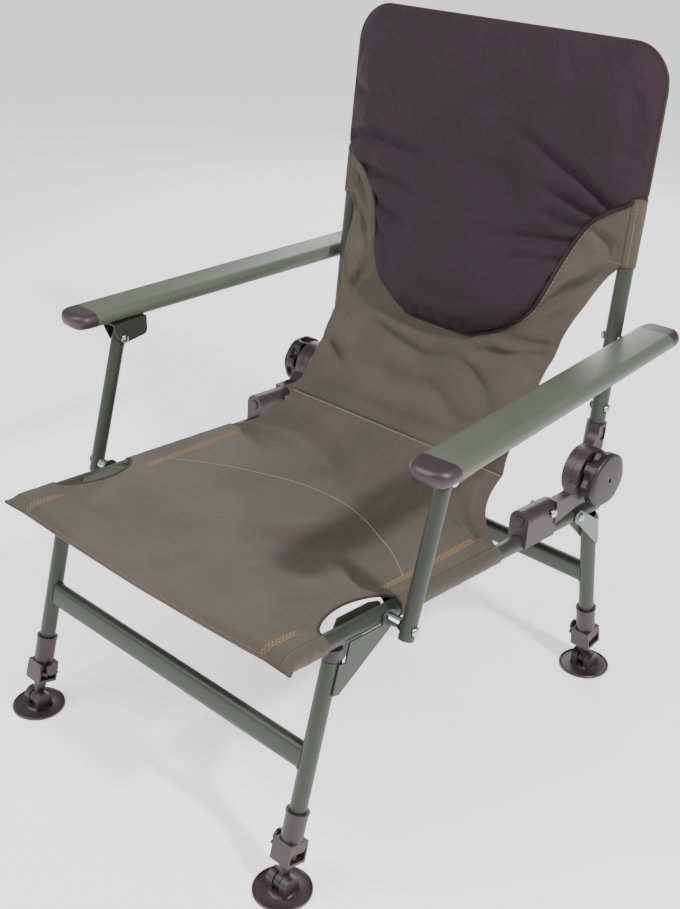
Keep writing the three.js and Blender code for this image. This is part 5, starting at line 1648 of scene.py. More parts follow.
olive = woven_polyester("coated_olive_polyester", OLIVE, OLIVE_DARK, OLIVE_DUSTY)
olive_binding = woven_polyester("olive_polyester_binding", BINDING_OLIVE, BINDING_OLIVE, OLIVE_DARK)
ochre_thread = sewing_thread("ochre_sewing_thread", THREAD_OCHRE)
pale_thread = sewing_thread("pale_olive_sewing_thread", THREAD_PALE)
brown_thread = sewing_thread("brown_sewing_thread", THREAD_BROWN)


def cloth_mesh(name, grid, closed_across=False):
    """A thin closed body round a grid of points, with UVs in metres along the threads."""
    points = np.array([[tuple(point) for point in row] for row in grid], dtype=float)
    if closed_across:
        points = np.concatenate([points, points[:, :1]], axis=1)
    rows, columns = points.shape[:2]
    along_u = np.gradient(points, axis=1)
    along_v = np.gradient(points, axis=0)
    if closed_across:
        along_u[:, 0] = along_u[:, -1] = points[:, 1] - points[:, -2]
    normals = np.cross(along_u, along_v)
    normals /= np.maximum(np.linalg.norm(normals, axis=2, keepdims=True), 1e-9)
    steps_u = np.linalg.norm(np.diff(points, axis=1), axis=2)
    steps_v = np.linalg.norm(np.diff(points, axis=0), axis=2)
    uv_u = np.concatenate([np.zeros((rows, 1)), np.cumsum(steps_u, axis=1)], axis=1)
    uv_u -= uv_u[:, -1:] / 2
    uv_v = np.concatenate([np.zeros((1, columns)), np.cumsum(steps_v, axis=0)], axis=0)
    shell = bmesh.new()
    uv_layer = shell.loops.layers.uv.new("threads")
    sides = []
    for offset in (CLOTH_THICKNESS / 2, -CLOTH_THICKNESS / 2):
        place = (points + normals * offset) * MM
        corners = [[shell.verts.new(tuple(point)) for point in row] for row in place]
        if closed_across:
            for row in corners:
                shell.verts.remove(row.pop())
                row.append(row[0])
        sides.append(corners)

    def face(spots):
        made = shell.faces.new([sides[side][row][column] for side, row, column in spots])
        made.smooth = True
        for loop, (side, row, column) in zip(made.loops, spots):
            loop[uv_layer].uv = (uv_u[row, column] * MM, uv_v[row, column] * MM)

    for row in range(rows - 1):
        for column in range(columns - 1):
            corners = [(row, column), (row, column + 1), (row + 1, column + 1), (row + 1, column)]
            face([(0, *corner) for corner in corners])
            face([(1, *corner) for corner in reversed(corners)])
    for row in (0, rows - 1):
        for column in range(columns - 1):
            face([(0, row, column), (1, row, column), (1, row, column + 1), (0, row, column + 1)])
    if not closed_across:
        for column in (0, columns - 1):
            for row in range(rows - 1):
                face([(0, row, column), (1, row, column), (1, row + 1, column), (0, row + 1, column)])
    bmesh.ops.recalc_face_normals(shell, faces=shell.faces)
    made = bpy.data.meshes.new(name)
    shell.to_mesh(made)
    shell.free()
    return made


def rear_share(along):
    """Share of the way from the rear sleeves' ends to the seat seam."""
    return min(max((along - REAR_SLEEVE[1]) / (SEAM_ALONG - REAR_SLEEVE[1]), 0), 1)


def pinch(along):
    """How flat the front corners are, from 1 at the hem to 0 where the tubes begin."""
    return 1 - eased(HEM_FRONT, HEM_FRONT + EAR_LENGTH, along)


def seat_edge(along):
    """Half width of the seat cloth, which is cut away round the front pivots."""
    scoop = (along - FRONT_SLEEVE_END) / (REAR_SLEEVE[0] - FRONT_SLEEVE_END)
    if 0 < scoop < 1:
        return SEAT_HALF_WIDTH - SLEEVE_CUT_DEPTH * math.sqrt(math.sin(math.pi * scoop))
    return SEAT_HALF_WIDTH - (SEAT_HALF_WIDTH - SEAM_HALF_WIDTH) * (1 - (1 - rear_share(along)) ** 3)


# Creases of the seat, as spots (across, along) in millimetres
SEAT_CREASES = (
    (((-196, 226), (-130, 233), (-84, 227), (-40, 210), (-10, 180), (6, 150)), 13, 4, 9),
    (((54, 250), (56, 200), (46, 150)), 15, 4, 8),
    (((20, 22), (60, 60), (112, 100), (140, 118)), 26, 3, 10),
    (((-10, 34), (30, 76), (80, 112)), 14, 0, -4),
    (((140, 44), (168, 32), (204, 16)), 8, 0, 6),
    (((204, 202), (178, 212), (132, 246)), 5, 9, 4),
    (((204, 194), (150, 232)), 6, -3, -2),
    (((-214, 208), (-180, 190), (-130, 172)), 7, 8, 2),
    (((-120, 60), (-80, 80), (-40, 95)), 30, 0, 3),
    (((60, -30), (170, -75)), 22, 0, 4),
    (((-90, -50), (60, -120)), 40, 0, 3),
    (((202, -24), (196, -60), (180, -110)), 8, 3, 1),
    (((-202, -24), (-190, -60), (-170, -90)), 8, 3, 1),
)


def seat_height(x, along):
    """Height of the sagging seat above the seat tubes' centre line."""
    top = SLEEVE_RADIUS + (CLOTH_THICKNESS - SLEEVE_RADIUS) * pinch(along)
    edge = top + (SEAM_RISE - SLEEVE_RADIUS) * rear_share(along)
    middle = through(
        [
            (HEM_FRONT, HEM_HEIGHT),
            (FRONT_SLEEVE_END, DEEP_HEIGHT),
            (REAR_SLEEVE[0], DEEP_HEIGHT + 2),
            ((REAR_SLEEVE[0] + REAR_SLEEVE[1]) / 2, 2),
            (REAR_SLEEVE[1], SLEEVE_RADIUS + 8),
            (SEAM_ALONG, SEAM_RISE),
        ],
        along,
    )
    across = max(1 - (x / seat_edge(along)) ** 2, 0)
    settle = min(across * 4, 1)
    height = edge + (middle - edge) * across
    wave = SEAT_RUFFLE * ruffle(x, along, SEAT_RUFFLE_SIZE, 3.0)
    height += wave * settle * eased(HEM_FRONT, HEM_FRONT + 40, along)
    return height - creased(x, along, SEAT_CREASES) * settle * (1 - eased(CREASE_END, SEAM_ALONG, along))


grid = []
for row in range(SEAT_CELLS[1] + 1):
    along = HEM_FRONT + (SEAM_ALONG - HEM_FRONT) * row / SEAT_CELLS[1]
    shares = [2 * column / SEAT_CELLS[0] - 1 for column in range(SEAT_CELLS[0] + 1)]
    across = [seat_edge(along) * share for share in shares]
    grid.append([(x, along, seat_height(x, along)) for x in across])
mesh = cloth_mesh("seat_cloth", grid)
seat_cloth = show("seat_cloth", mesh, seat_place, olive, "seat_frame", "olive_cloth", "seat_cover")


def sleeve_ring(sign, along, flat, steps=40):
    """A sleeve's outline at one station: a teardrop from the stitches round the tube, which closes
    flat at the front corners."""
    stitch = seat_height(SLEEVE_STITCH, along) - CLOTH_THICKNESS
    ring = []
    for step in range(steps):
        turn = math.pi - math.tau * (step + 0.5) / steps
        wide = (math.cos(turn) + 1) / 2
        round_x = SEAT_HALF_WIDTH + SLEEVE_RADIUS * math.cos(turn)
        round_z = SLEEVE_RADIUS * math.sin(turn)
        if abs(turn) > math.pi / 2:
            reach = (abs(turn) - math.pi / 2) / (math.pi / 2)
            round_x = SEAT_HALF_WIDTH + (SLEEVE_STITCH - SEAT_HALF_WIDTH) * reach
            top = seat_height(round_x, along) - CLOTH_THICKNESS * SLEEVE_LAP
            tuck = stitch - STITCH_TUCK + SLEEVE_RADIUS
            round_z = top if turn > 0 else -SLEEVE_RADIUS + tuck * reach**1.5
        flat_x = SLEEVE_STITCH + (EAR_TIP - SLEEVE_STITCH) * wide
        flat_z = math.copysign(1.1, turn) - 1.5 * wide
        x = round_x + (flat_x - round_x) * flat
        z = round_z + (flat_z - round_z) * flat
        ring.append((sign * x, along, z))
    return ring


for side, sign in SIDES:
    for end, (low, high) in (("front", (HEM_FRONT, FRONT_SLEEVE_END)), ("rear", REAR_SLEEVE)):
        rings = []
        for step in range(33):
            along = low + (high - low) * step / 32
            ring = []
            for x, y, z in sleeve_ring(sign, along, pinch(along)):
                shift_x = SLEEVE_RUFFLE * ruffle(along, z * 3, 14, sign)
                shift_z = SLEEVE_RUFFLE * ruffle(along, x, 16, sign + 5)
                ring.append((x + shift_x, y, z + shift_z))
            rings.append(ring)
        name = f"seat_sleeve_{end}_{side}"
        mesh = cloth_mesh(name, rings, closed_across=True)
        show(name, mesh, seat_place, olive, "seat_frame", "olive_cloth")


def thread_mesh(name, runs, radius):
    """Stitches: a short round bar of thread for each pair of ends."""
    return joined_mesh(name, *(tube_mesh("stitch", run, radius, 0, 6) for run in runs))


def dashes(spots, length, gap):
    """Pairs of ends for stitches of the given length along a line of points."""
    spots = [Vector(spot) for spot in spots]
    places = [0.0]
    for before, after in zip(spots, spots[1:]):
        places.append(places[-1] + (after - before).length)

    def spot_at(place):
        index = min(max(i for i, low in enumerate(places) if low <= place), len(spots) - 2)
        share = (place - places[index]) / (places[index + 1] - places[index])
        return spots[index].lerp(spots[index + 1], share)

    runs = []
    place = gap
    while place + length < places[-1]:
        runs.append((spot_at(place), spot_at(place + length)))
        place += length + gap
    return runs


def on_seat(x, along, lift=0.7):
    """A point on top of the seat cloth."""
    return Vector((x, along, seat_height(x, along) + lift))


def zigzag(start, end, half_width, pitch):
    """The ends of zigzag stitches on the seat between two spots."""
    start = Vector(start)
    end = Vector(end)
    run = end - start
    across = Vector((-run.y, run.x)).normalized() * half_width
    count = max(int(run.length / pitch), 2)
    spots = []
    for step in range(count + 1):
        spots.append(start + run * (step / count) + across * (1 if step % 2 else -1))
    return [(on_seat(*before), on_seat(*after)) for before, after in zip(spots, spots[1:])]


ZIGZAG_HALF = 2.2
ZIGZAG_PITCH = 2.4
ZIGZAG_ROWS_APART = 5
THREAD_RADIUS = 0.34
for side, sign in SIDES:
    runs = []
    for inward in (0, ZIGZAG_ROWS_APART):
        x = sign * (SLEEVE_STITCH - inward)
        runs += zigzag((x, HEM_FRONT + 4), (x, FRONT_SLEEVE_END - 14 + inward), ZIGZAG_HALF, ZIGZAG_PITCH)
        runs += zigzag((x, REAR_SLEEVE[0] + 8), (x, REAR_SLEEVE[1] - 12), ZIGZAG_HALF, ZIGZAG_PITCH)
    mesh = thread_mesh(f"sleeve_zigzag_{side}", runs, THREAD_RADIUS)
    show(f"sleeve_zigzag_{side}", mesh, seat_place, ochre_thread, "seat_frame", "olive_cloth")

# A topstitched arc across the seat, and the stitches of the seam that joins the seat to the back
ARC_TOP = 152
ARC_DROP = 88
ARC_HALF = 207
TOPSTITCH = (3.6, 1.0)
HEM_STITCH = (3.0, 1.5)
TOPSTITCH_LIFT = 0.6
TOPSTITCH_RADIUS = 0.5
HEM_STITCH_RADIUS = 0.35
HEM_ROLL_RADIUS = 1.5

arc_line = []
seam_line = []
for step in range(61):
    share = step / 30 - 1
    x = ARC_HALF * share
    arc_line.append(on_seat(x, ARC_TOP - ARC_DROP * (x / ARC_HALF) ** 2, TOPSTITCH_LIFT))
    seam_line.append(on_seat(SEAM_HALF_WIDTH * share, SEAM_ALONG - 2.5, TOPSTITCH_LIFT))
runs = dashes(arc_line, *TOPSTITCH) + dashes(seam_line, *TOPSTITCH)
mesh = thread_mesh("seat_topstitch", runs, TOPSTITCH_RADIUS)
show("seat_topstitch", mesh, seat_place, pale_thread, "seat_frame", "olive_cloth")

hem = [on_seat(x, HEM_FRONT + 3, 0.55) for x in np.linspace(-SLEEVE_STITCH, SLEEVE_STITCH, 60)]
mesh = thread_mesh("front_hem_stitch", dashes(hem, *HEM_STITCH), HEM_STITCH_RADIUS)
made = show("front_hem_stitch", mesh, seat_place, ochre_thread, "seat_frame", "olive_cloth")

hem_roll = [on_seat(x, HEM_FRONT + 0.5, -0.6) for x in np.linspace(-SLEEVE_STITCH, SLEEVE_STITCH, 80)]
mesh = tube_mesh("front_hem", hem_roll, HEM_ROLL_RADIUS, 0, 10)
show("front_hem", mesh, seat_place, olive, "seat_frame", "olive_cloth")

SCOOP_STEPS = 48
SCOOP_INSET = 0.2
scoop_start = FRONT_SLEEVE_END + SCOOP_INSET
scoop_length = REAR_SLEEVE[0] - FRONT_SLEEVE_END - 2 * SCOOP_INSET
for side, sign in SIDES:
    edge = []
    for step in range(SCOOP_STEPS + 1):
        along = scoop_start + scoop_length * (1 - math.cos(math.pi * step / SCOOP_STEPS)) / 2
        edge.append((sign * seat_edge(along), along, seat_height(seat_edge(along), along)))
    mesh = tube_mesh(f"scoop_binding_{side}", edge, BINDING_RADIUS, 0, 10)
    show(f"scoop_binding_{side}", mesh, seat_place, olive_binding, "seat_frame", "olive_cloth")

# Back cloth
# One slack panel of the same polyester. It hangs from the seat's rear seam, narrows to a waist and widens
# to two sleeves round the back tubes.

PANEL_MIDDLE = 16.9
PANEL_HALF_WIDTH = 209.3
SEAM_LOW = -1.0
WRAP_BOTTOM = 256
WRAP_TOP = 329
PANEL_TOP = 484
PANEL_EDGE_POWER = 4
BACK_RUFFLE = 1.8
BACK_RUFFLE_SIZE = 70
WRAP_STITCH = 205
WRAP_RUFFLE = 0.5
WRAP_RUFFLE_SIZE = 22
TOP_TRIM = 26
BACK_CELLS = (120, 150)

# Stations up the cloth, in millimetres above the hinge: how far it lies in front of the tubes, and
# its half width on the sitter's left and right
FORWARD = (
    ((-1, 117.6), (21, 104.7), (110, 55.3), (138, 42.3), (166, 39.5))
    + ((197, 36.5), (256, 14.1), (300, 3), (329, 0))
)
HALF_LEFT = (
    ((-1, 181), (21, 175), (110, 174), (138, 178.2), (166, 182.7))
    + ((197, 191.8), (238, 206), (257, 222))
)
HALF_RIGHT = (
    ((-1, 181), (21, 176), (66, 174), (110, 176), (166, 186))
    + ((197, 194), (238, 207), (257, 222))
)

# Creases of the back cloth, as spots (across, height) in millimetres
BACK_CREASES = (
    (((-180, 13), (0, 11), (180, 13)), 8, 3, 6),
    (((-128, 100), (-88, 104), (-50, 96), (-5, 87), (40, 97), (84, 86)), 8, 0, 9),
    (((40, 99), (70, 92), (96, 78), (128, 52)), 8, 0, 9),
    (((-112, 119), (-60, 113), (-4, 104)), 9, 0, -5),
    (((174, 138), (129, 126), (66, 113), (40, 130)), 6, 5, 8),
    (((176, 124), (110, 128), (60, 142)), 6, -3, -4),
    (((176, 150), (132, 141), (86, 142)), 6, 5, 3),
    (((-174, 70), (-150, 60), (-118, 42)), 6, 6, 8),
    (((-174, 88), (-140, 78), (-100, 56)), 8, -3, -4),
    (((-176, 142), (-118, 150), (-70, 157)), 8, 5, 3),
    (((-172, 112), (-150, 100), (-130, 104)), 7, 5, 2),
    (((-122, 66), (-30, 50), (50, 54), (100, 44)), 14, 0, 6),
    (((-80, 30), (80, 27)), 12, 0, -4),
    (((4, 66), (80, 34), (160, 24)), 9, 0, 5),
    (((136, 186), (170, 219), (212, 246)), 6, 4, 9),
    (((140, 160), (176, 190), (200, 212)), 6, 0, 5),
    (((150, 216), (186, 248), (214, 262)), 7, -2, -6),
    (((168, 294), (204, 276), (222, 262)), 6, 2, 7),
    (((-216, 254), (-178, 222), (-144, 184)), 7, 7, 8),
    (((-218, 292), (-190, 262), (-172, 236)), 6, 5, 4),
    (((-200, 212), (-168, 168), (-146, 132)), 7, -3, -5),
    (((-134, 184), (-156, 152), (-176, 126)), 7, 0, 5),
)


def back_half(sign, height):
    """Half width of the back cloth on one side."""
    return through(HALF_LEFT if sign > 0 else HALF_RIGHT, height)


def back_surface(x, height):
    """How far behind the hinge the back cloth's middle layer lies."""
    middle = PANEL_MIDDLE - through(FORWARD, height)
    outward = min(abs(x / PANEL_HALF_WIDTH), 1) ** PANEL_EDGE_POWER * eased(131, WRAP_BOTTOM, height)
    place = middle + (PANEL_MIDDLE - middle) * outward
    loose = eased(SEAM_LOW, 40, height) * (1 - eased(300, 340, height))
    loose *= min(max((1 - abs(x / back_half(x, height))) * 9, 0.35), 1)
    place += BACK_RUFFLE * ruffle(x, height, BACK_RUFFLE_SIZE, 11.0) * loose
    return place + creased(x, height, BACK_CREASES) * loose


grid = []
for row in range(BACK_CELLS[1] + 1):
    height = SEAM_LOW + (PANEL_TOP - SEAM_LOW) * row / BACK_CELLS[1]
    trim = TOP_TRIM * eased(PANEL_TOP - BACK_CORNER, PANEL_TOP, height)
    spots = []
    for column in range(BACK_CELLS[0] + 1):
        share = 1 - 2 * column / BACK_CELLS[0]
        x = share * (back_half(share, height) - trim)
        spots.append((x, back_surface(x, height), height))
    grid.append(spots)
back_cloth = show(
    "back_cloth", cloth_mesh("back_cloth", grid), back_place, olive, None, "olive_cloth", "back_cover",
    "back_sling",
)
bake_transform(back_cloth)


def wrap_ring(sign, height, steps=36):
    """A wrap's outline at one height: round the back tube, and drawn in to the stitches behind."""
    middle = Vector((BACK_HALF_WIDTH, BACK_SETBACK))
    radius = SLEEVE_RADIUS + 0.1
    ring = []
    for step in range(steps):
        turn = math.pi - math.tau * (step + 0.5) / steps
        x = middle.x + radius * math.cos(turn)
        y = middle.y - radius * math.sin(turn)
        if abs(turn) > math.pi / 2:
            reach = (abs(turn) - math.pi / 2) / (math.pi / 2)
            x = middle.x + (WRAP_STITCH - middle.x) * reach
            front = PANEL_MIDDLE + CLOTH_THICKNESS * SLEEVE_LAP
            back = middle.y + radius + (front + STITCH_TUCK - middle.y - radius) * reach**1.5
            y = front if turn > 0 else back
        x += WRAP_RUFFLE * ruffle(height, turn * 20, WRAP_RUFFLE_SIZE, sign + 8)
        y += WRAP_RUFFLE * ruffle(height, turn * 20, WRAP_RUFFLE_SIZE, sign + 3)
        ring.append((sign * x, y, height))
    return ring


WRAP_ENDS = {"left": 338, "right": 321}
WRAP_SEAM = (BACK_HALF_WIDTH + 6.5, BACK_SETBACK - 10.6)
WRAP_DASH = (3.2, 1.4)
BACK_HEM_RADIUS = 1.35
BACK_HEM_STEPS = 89
for side, sign in SIDES:
    rings = []
    for step in range(25):
        height = WRAP_BOTTOM + (WRAP_ENDS[side] - WRAP_BOTTOM) * step / 24
        rings.append(wrap_ring(sign, height))
    name = f"back_wrap_{side}"
    mesh = cloth_mesh(name, rings, closed_across=True)
    show(name, mesh, back_place, olive, "backrest", "olive_cloth")


def on_back(x, height, lift=0.7):
    """A point on the front of the back cloth."""
    return Vector((x, back_surface(x, height) - lift, height))


wrap_seams = []
for side, sign in SIDES:
    foot = WRAP_BOTTOM + 3
    seam_x, seam_y = WRAP_SEAM
    outer = [Vector((sign * seam_x, seam_y, height)) for height in (foot, WRAP_ENDS[side] - 2)]
    hem = [on_back(sign * x, foot + 1, 0.9) for x in np.linspace(WRAP_STITCH, BACK_HALF_WIDTH, 6)]
    wrap_seams += dashes(outer, *WRAP_DASH) + dashes(hem, *WRAP_DASH)
mesh = thread_mesh("back_wrap_stitch", wrap_seams, THREAD_RADIUS)
show("back_wrap_stitch", mesh, back_place, brown_thread, "backrest", "olive_cloth")

for side, sign in SIDES:
    spots = []
    for step in range(BACK_HEM_STEPS + 1):
        height = SEAM_LOW + 1 + (WRAP_BOTTOM - SEAM_LOW - 4) * step / BACK_HEM_STEPS
        x = sign * (back_half(sign, height) - 0.4)
        spots.append(Vector((x, back_surface(x, height), height)))
    mesh = tube_mesh(f"back_hem_{side}", spots, BACK_HEM_RADIUS, 0, 8)
    hem = show(f"back_hem_{side}", mesh, back_place, olive, None, "olive_cloth")
    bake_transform(hem)

# Head pad
# Foam under black polyester, shaped like a bowl below, with a hood over the top of the back tube.
# It is sewn to the olive panel round the bowl, and the seam gathers it into soft creases.

PAD_BLACK = "#2D2026"
PAD_BLACK_DARK = "#261B20"
PAD_BLACK_DUSTY = "#3C2F35"
PAD_SHEEN = 0.04
HOOD_RADIUS = 12.4
HOOD_CORNER = 38
PIPING_RADIUS = 1.2
PAD_EDGE = 3.0
PAD_CROWN = 11
PAD_ROLL = 24
PAD_BELLY = 0.4
PAD_BELLY_HEIGHT = 190
PAD_BELLY_REACH = 55
PAD_SIDE_FALL = 0.2
PAD_RUFFLE = 1.2
PAD_RUFFLE_SIZE = 60
PAD_CLEARANCE = 0.4
PAD_CELLS = (64, 84)
PAD_VOXEL = 5
PAD_FRAMES = 20
PAD_PRESSURE = 4
PAD_SPARE_CLOTH = -0.018
PAD_HELD_BEHIND = 3.5
PAD_HELD_EDGE = 5
PAD_CAP = 8

# Stations up the pad, in millimetres above the hinge: half width on the sitter's left and right
PAD_LEFT = (
    ((137, 62), (151, 94), (176, 125), (206, 140), (241, 148))
    + ((269, 157), (297, 172), (318, 198), (338, 232))
)
PAD_RIGHT = (
    ((137, 62), (158, 98), (189, 123), (229, 146))
    + ((269, 169), (290, 186), (302, 202), (321, 232))
)
PAD_BOTTOM = 131
PAD_BOWL = 137

# Creases of the pad, as spots (across, height) in millimetres
PAD_CREASES = (
    (((200, 320), (186, 334), (158, 350), (120, 364), (70, 386), (30, 404)), 7, 12, 4),
    (((184, 307), (160, 316), (130, 325), (90, 330)), 6, 10, 3),
    (((178, 294), (146, 289), (112, 298)), 7, 6, 2),
    (((166, 272), (120, 267), (60, 262), (20, 262)), 7, 10, 3),
    (((154, 248), (112, 240), (70, 244)), 8, 6, 2),
    (((-226, 334), (-196, 345), (-160, 343), (-90, 330), (-50, 322)), 9, 10, 5),
    (((-190, 298), (-150, 297), (-110, 287), (-50, 272)), 9, 9, 4),
    (((-168, 262), (-120, 246), (-70, 226)), 9, 7, 3),
    (((-150, 232), (-110, 213), (-70, 202)), 9, 5, 2),
    (((200, 468), (214, 420), (214, 370)), 10, 0, 4),
    (((-224, 478), (-150, 452), (-40, 442)), 18, 3, 3),
    (((-70, 346), (30, 330), (110, 296)), 24, 0, 6),
    (((-60, 400), (60, 430), (170, 446)), 26, 0, 4),
    (((-222, 404), (-170, 392), (-90, 398)), 10, 5, 2),
    (((-130, 178), (-60, 162), (0, 157), (70, 162), (128, 188)), 12, 0, -6),
    (((-60, 300), (10, 290), (70, 296)), 30, 0, -4),
)


def pad_half(sign, height):
    """Half width of the pad on one side; the hoop's corners round its top."""
    stations = PAD_LEFT if sign > 0 else PAD_RIGHT
    if height < PAD_BOWL:
        below = (PAD_BOWL - height) / (PAD_BOWL - PAD_BOTTOM)
        return stations[0][1] * math.sqrt(max(1 - below**2, 0))
    past = max(height - BACK_TOP + HOOD_CORNER, 0)
    corner = HOOD_CORNER - math.sqrt(max(HOOD_CORNER**2 - past**2, 0))
    return min(through(stations, height), BACK_HALF_WIDTH) - corner


def pad_front(x, height):
    """The pad's front before it is filled: rolled under at its edges, and fullest low down."""
    side = max(pad_half(x, height), 1)
    inward = min(side - abs(x), height - PAD_BOTTOM, BACK_TOP - height) / PAD_ROLL
    rolled = math.sqrt(1 - (1 - min(max(inward, 0), 1)) ** 2)
    belly = 1 + PAD_BELLY * math.exp(-(((height - PAD_BELLY_HEIGHT) / PAD_BELLY_REACH) ** 2))
    crowned = 1 - PAD_SIDE_FALL * min(abs(x) / side, 1) ** 2
    behind = min(back_surface(x, height), PANEL_MIDDLE)
    return behind - CLOTH_THICKNESS - PAD_EDGE - PAD_CROWN * rolled * belly * crowned


def pad_shell():
    """The pad and its hood as one watertight mesh, in the back's frame."""
    front = []
    back = []
    for row in range(PAD_CELLS[1] + 1):
        share = row / PAD_CELLS[1]
        height = PAD_BOTTOM + (BACK_TOP - PAD_BOTTOM) * share**1.15 + (0.4 if row == 0 else 0)
        front_row = []
        back_row = []
        for column in range(PAD_CELLS[0] + 1):
            turn = math.pi * (column / PAD_CELLS[0] - 0.5)
            x = math.sin(turn) * pad_half(turn, height)
            front_row.append((x, pad_front(x, height), height))
            back_row.append((x, back_surface(x, height) - CLOTH_THICKNESS / 2 - 0.2, height))
        front.append(front_row)
        back.append(back_row)
    rings = [front_row + back_row[::-1] for front_row, back_row in zip(front, back)]
    hoop = back_hoop(WRAP_TOP)
    hoop[0].z = WRAP_ENDS["left"]
    hoop[-1].z = WRAP_ENDS["right"]
    return joined_mesh(
        "pad_shell", mesh_of("pad_body", *bridged(rings)), tube_mesh("hood", hoop, HOOD_RADIUS, 0, 28),
        tube_mesh("hood_corners", back_hoop(WRAP_ENDS["left"], HOOD_CORNER), HOOD_RADIUS, 0, 28),
    )


def evaluated_copy(made):
    """The object's mesh with its modifiers applied."""
    graph = bpy.context.evaluated_depsgraph_get()
    graph.update()
    return bpy.data.meshes.new_from_object(made.evaluated_get(graph))


def filled(shell, pinned, spare_cloth, cap):
    """Swells a remeshed shell like a stuffed cover, with the pinned points held."""
    made = bpy.data.objects.new("stuffing", shell)
    bpy.context.scene.collection.objects.link(made)
    before = [vertex.co.copy() for vertex in shell.vertices]
    group = made.vertex_groups.new(name="pinned")
    group.add([place for place, held in enumerate(pinned) if held], 1.0, "REPLACE")
    cloth = made.modifiers.new("stuffing", "CLOTH")
    cloth.settings.quality = 6
    cloth.settings.mass = 0.25
    cloth.settings.tension_stiffness = 12
    cloth.settings.compression_stiffness = 12
    cloth.settings.bending_stiffness = 0.6
    cloth.settings.use_pressure = True
    cloth.settings.uniform_pressure_force = PAD_PRESSURE
    cloth.settings.shrink_min = spare_cloth
    cloth.settings.vertex_group_mass = group.name
    cloth.settings.effector_weights.gravity = 0
    cloth.collision_settings.use_collision = False
    cloth.point_cache.frame_start = 1
    cloth.point_cache.frame_end = PAD_FRAMES
    for step in range(1, PAD_FRAMES + 1):
        bpy.context.scene.frame_set(step)
    result = evaluated_copy(made)
    bpy.context.scene.frame_set(1)
    bpy.data.objects.remove(made)
    for vertex, start in zip(result.vertices, before):
        shift = vertex.co - start
        if shift.length > cap * MM:
            vertex.co = start + shift * (cap * MM / shift.length)
    return result


def remeshed(mesh, voxel):
    """An even quad mesh over the outside of a shell."""
    made = bpy.data.objects.new("remesh", mesh)
    bpy.context.scene.collection.objects.link(made)
    remesh = made.modifiers.new("remesh", "REMESH")
    remesh.mode = "VOXEL"
    remesh.voxel_size = voxel * MM
    smooth = made.modifiers.new("smooth", "SMOOTH")
    smooth.factor = 0.5
    smooth.iterations = 3
    result = evaluated_copy(made)
    bpy.data.objects.remove(made)
    return result


pad_mesh = remeshed(pad_shell(), PAD_VOXEL)
held = []
for vertex in pad_mesh.vertices:
    x, y, height = vertex.co / MM
    behind = y > back_surface(x, height) - PAD_HELD_BEHIND
    edge = abs(x) > pad_half(x, height) - PAD_HELD_EDGE and height < WRAP_TOP
    held.append(behind or edge)
pad_mesh = filled(pad_mesh, held, PAD_SPARE_CLOTH, PAD_CAP)
made = bpy.data.objects.new("subdivided", pad_mesh)
bpy.context.scene.collection.objects.link(made)
made.modifiers.new("subdivided", "SUBSURF").levels = 1
pad_mesh = evaluated_copy(made)
bpy.data.objects.remove(made)
pad_uv = pad_mesh.uv_layers.new(name="threads")
for vertex in pad_mesh.vertices:
    x, y, height = vertex.co / MM
    if y < PANEL_MIDDLE:
        pressed = creased(x, height, PAD_CREASES)
        pressed += PAD_RUFFLE * ruffle(x, height, PAD_RUFFLE_SIZE, 21.0)
        panel_front = min(back_surface(x, height), PANEL_MIDDLE) - CLOTH_THICKNESS / 2
        vertex.co.y = min(y + pressed, max(panel_front - PAD_CLEARANCE, y)) * MM
for loop in pad_mesh.loops:
    place = pad_mesh.vertices[loop.vertex_index].co
    pad_uv.data[loop.index].uv = (place.x, place.z)
for polygon in pad_mesh.polygons:
    polygon.use_smooth = True
black_polyester = woven_polyester(
    "black_padded_polyester", PAD_BLACK, PAD_BLACK_DARK, PAD_BLACK_DUSTY, PAD_SHEEN
)
pad_mesh.materials.clear()
head_pad = show(
    "head_pad_cover", pad_mesh, back_place, black_polyester, "backrest", "black_cloth", "head_pad"
)

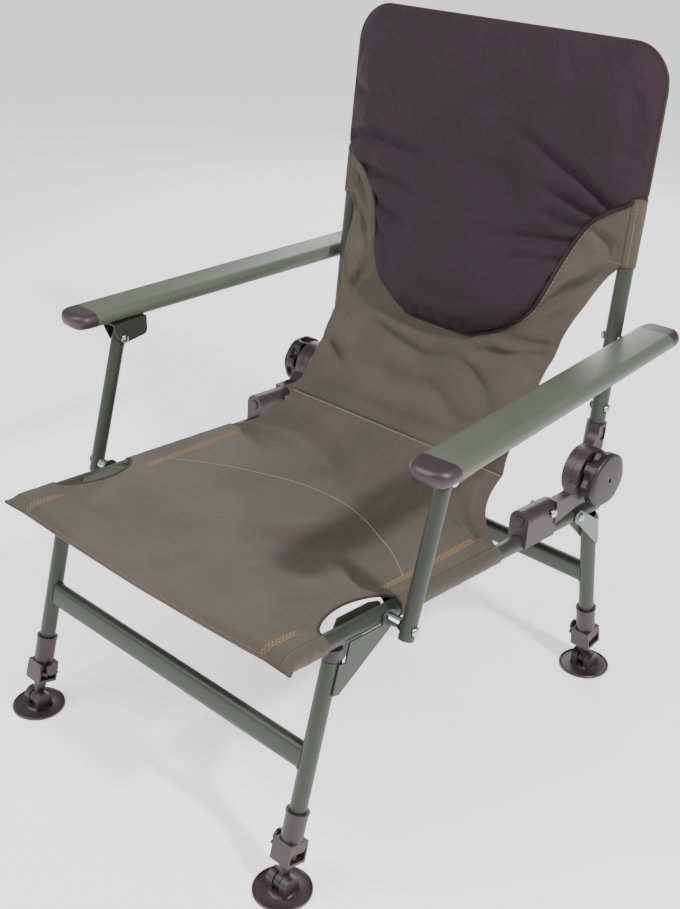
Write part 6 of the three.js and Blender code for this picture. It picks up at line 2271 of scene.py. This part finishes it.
# The pad's rolled edge and its stitches run round the bowl, just outside the pad; the roll lies a
# little nearer the pad than the stitches do
BOWL_STEPS = 60
BOWL_OUTSIDE = 3.2
BOWL_STITCH = (3.6, 1.8)
EDGE_RADIUS = 2.4
EDGE_DRAWN_IN = 3.4
EDGE_DRAWN_FROM = 34
EDGE_RAISED_TO = 120

bowl = []
for sign, wrap_end in ((-1, WRAP_ENDS["right"]), (1, WRAP_ENDS["left"])):
    side = []
    for step in range(BOWL_STEPS + 1):
        share = step / BOWL_STEPS
        height = PAD_BOTTOM + (wrap_end - PAD_BOTTOM) * share**1.6
        side.append((sign * (pad_half(sign, height) + BOWL_OUTSIDE), height - BOWL_OUTSIDE * (1 - share)))
    bowl += side[::-1] if sign < 0 else side
bowl_line = []
edge_line = []
for x, height in bowl:
    bowl_line.append(on_back(min(max(x, -BACK_HALF_WIDTH), BACK_HALF_WIDTH), height, 0.8))
    edge_x = x * (1 - EDGE_DRAWN_IN / max(abs(x), EDGE_DRAWN_FROM))
    raised = BOWL_OUTSIDE * max(1 - abs(x) / EDGE_RAISED_TO, 0)
    edge_line.append(on_back(edge_x, height + raised, EDGE_RADIUS))
mesh = tube_mesh("bowl_edge", edge_line, EDGE_RADIUS, 0, 10)
show("bowl_edge", mesh, back_place, black_polyester, "backrest", "black_cloth")
mesh = thread_mesh("bowl_stitch", dashes(bowl_line, *BOWL_STITCH), TOPSTITCH_RADIUS)
show("bowl_stitch", mesh, back_place, brown_thread, "backrest", "olive_cloth")

rim = []
for spot in back_hoop(WRAP_ENDS["left"], HOOD_CORNER):
    bend_x = max(min(spot.x, BACK_HALF_WIDTH - HOOD_CORNER), HOOD_CORNER - BACK_HALF_WIDTH)
    outward = Vector((spot.x - bend_x, 0, max(spot.z - BACK_TOP + HOOD_CORNER, 0)))
    rim.append(spot + outward.normalized() * (HOOD_RADIUS - 0.3) - Vector((0, 2, 0)))
mesh = tube_mesh("hood_piping", rim, PIPING_RADIUS, 0, 10)
show("hood_piping", mesh, back_place, olive_binding, "backrest", "olive_cloth")
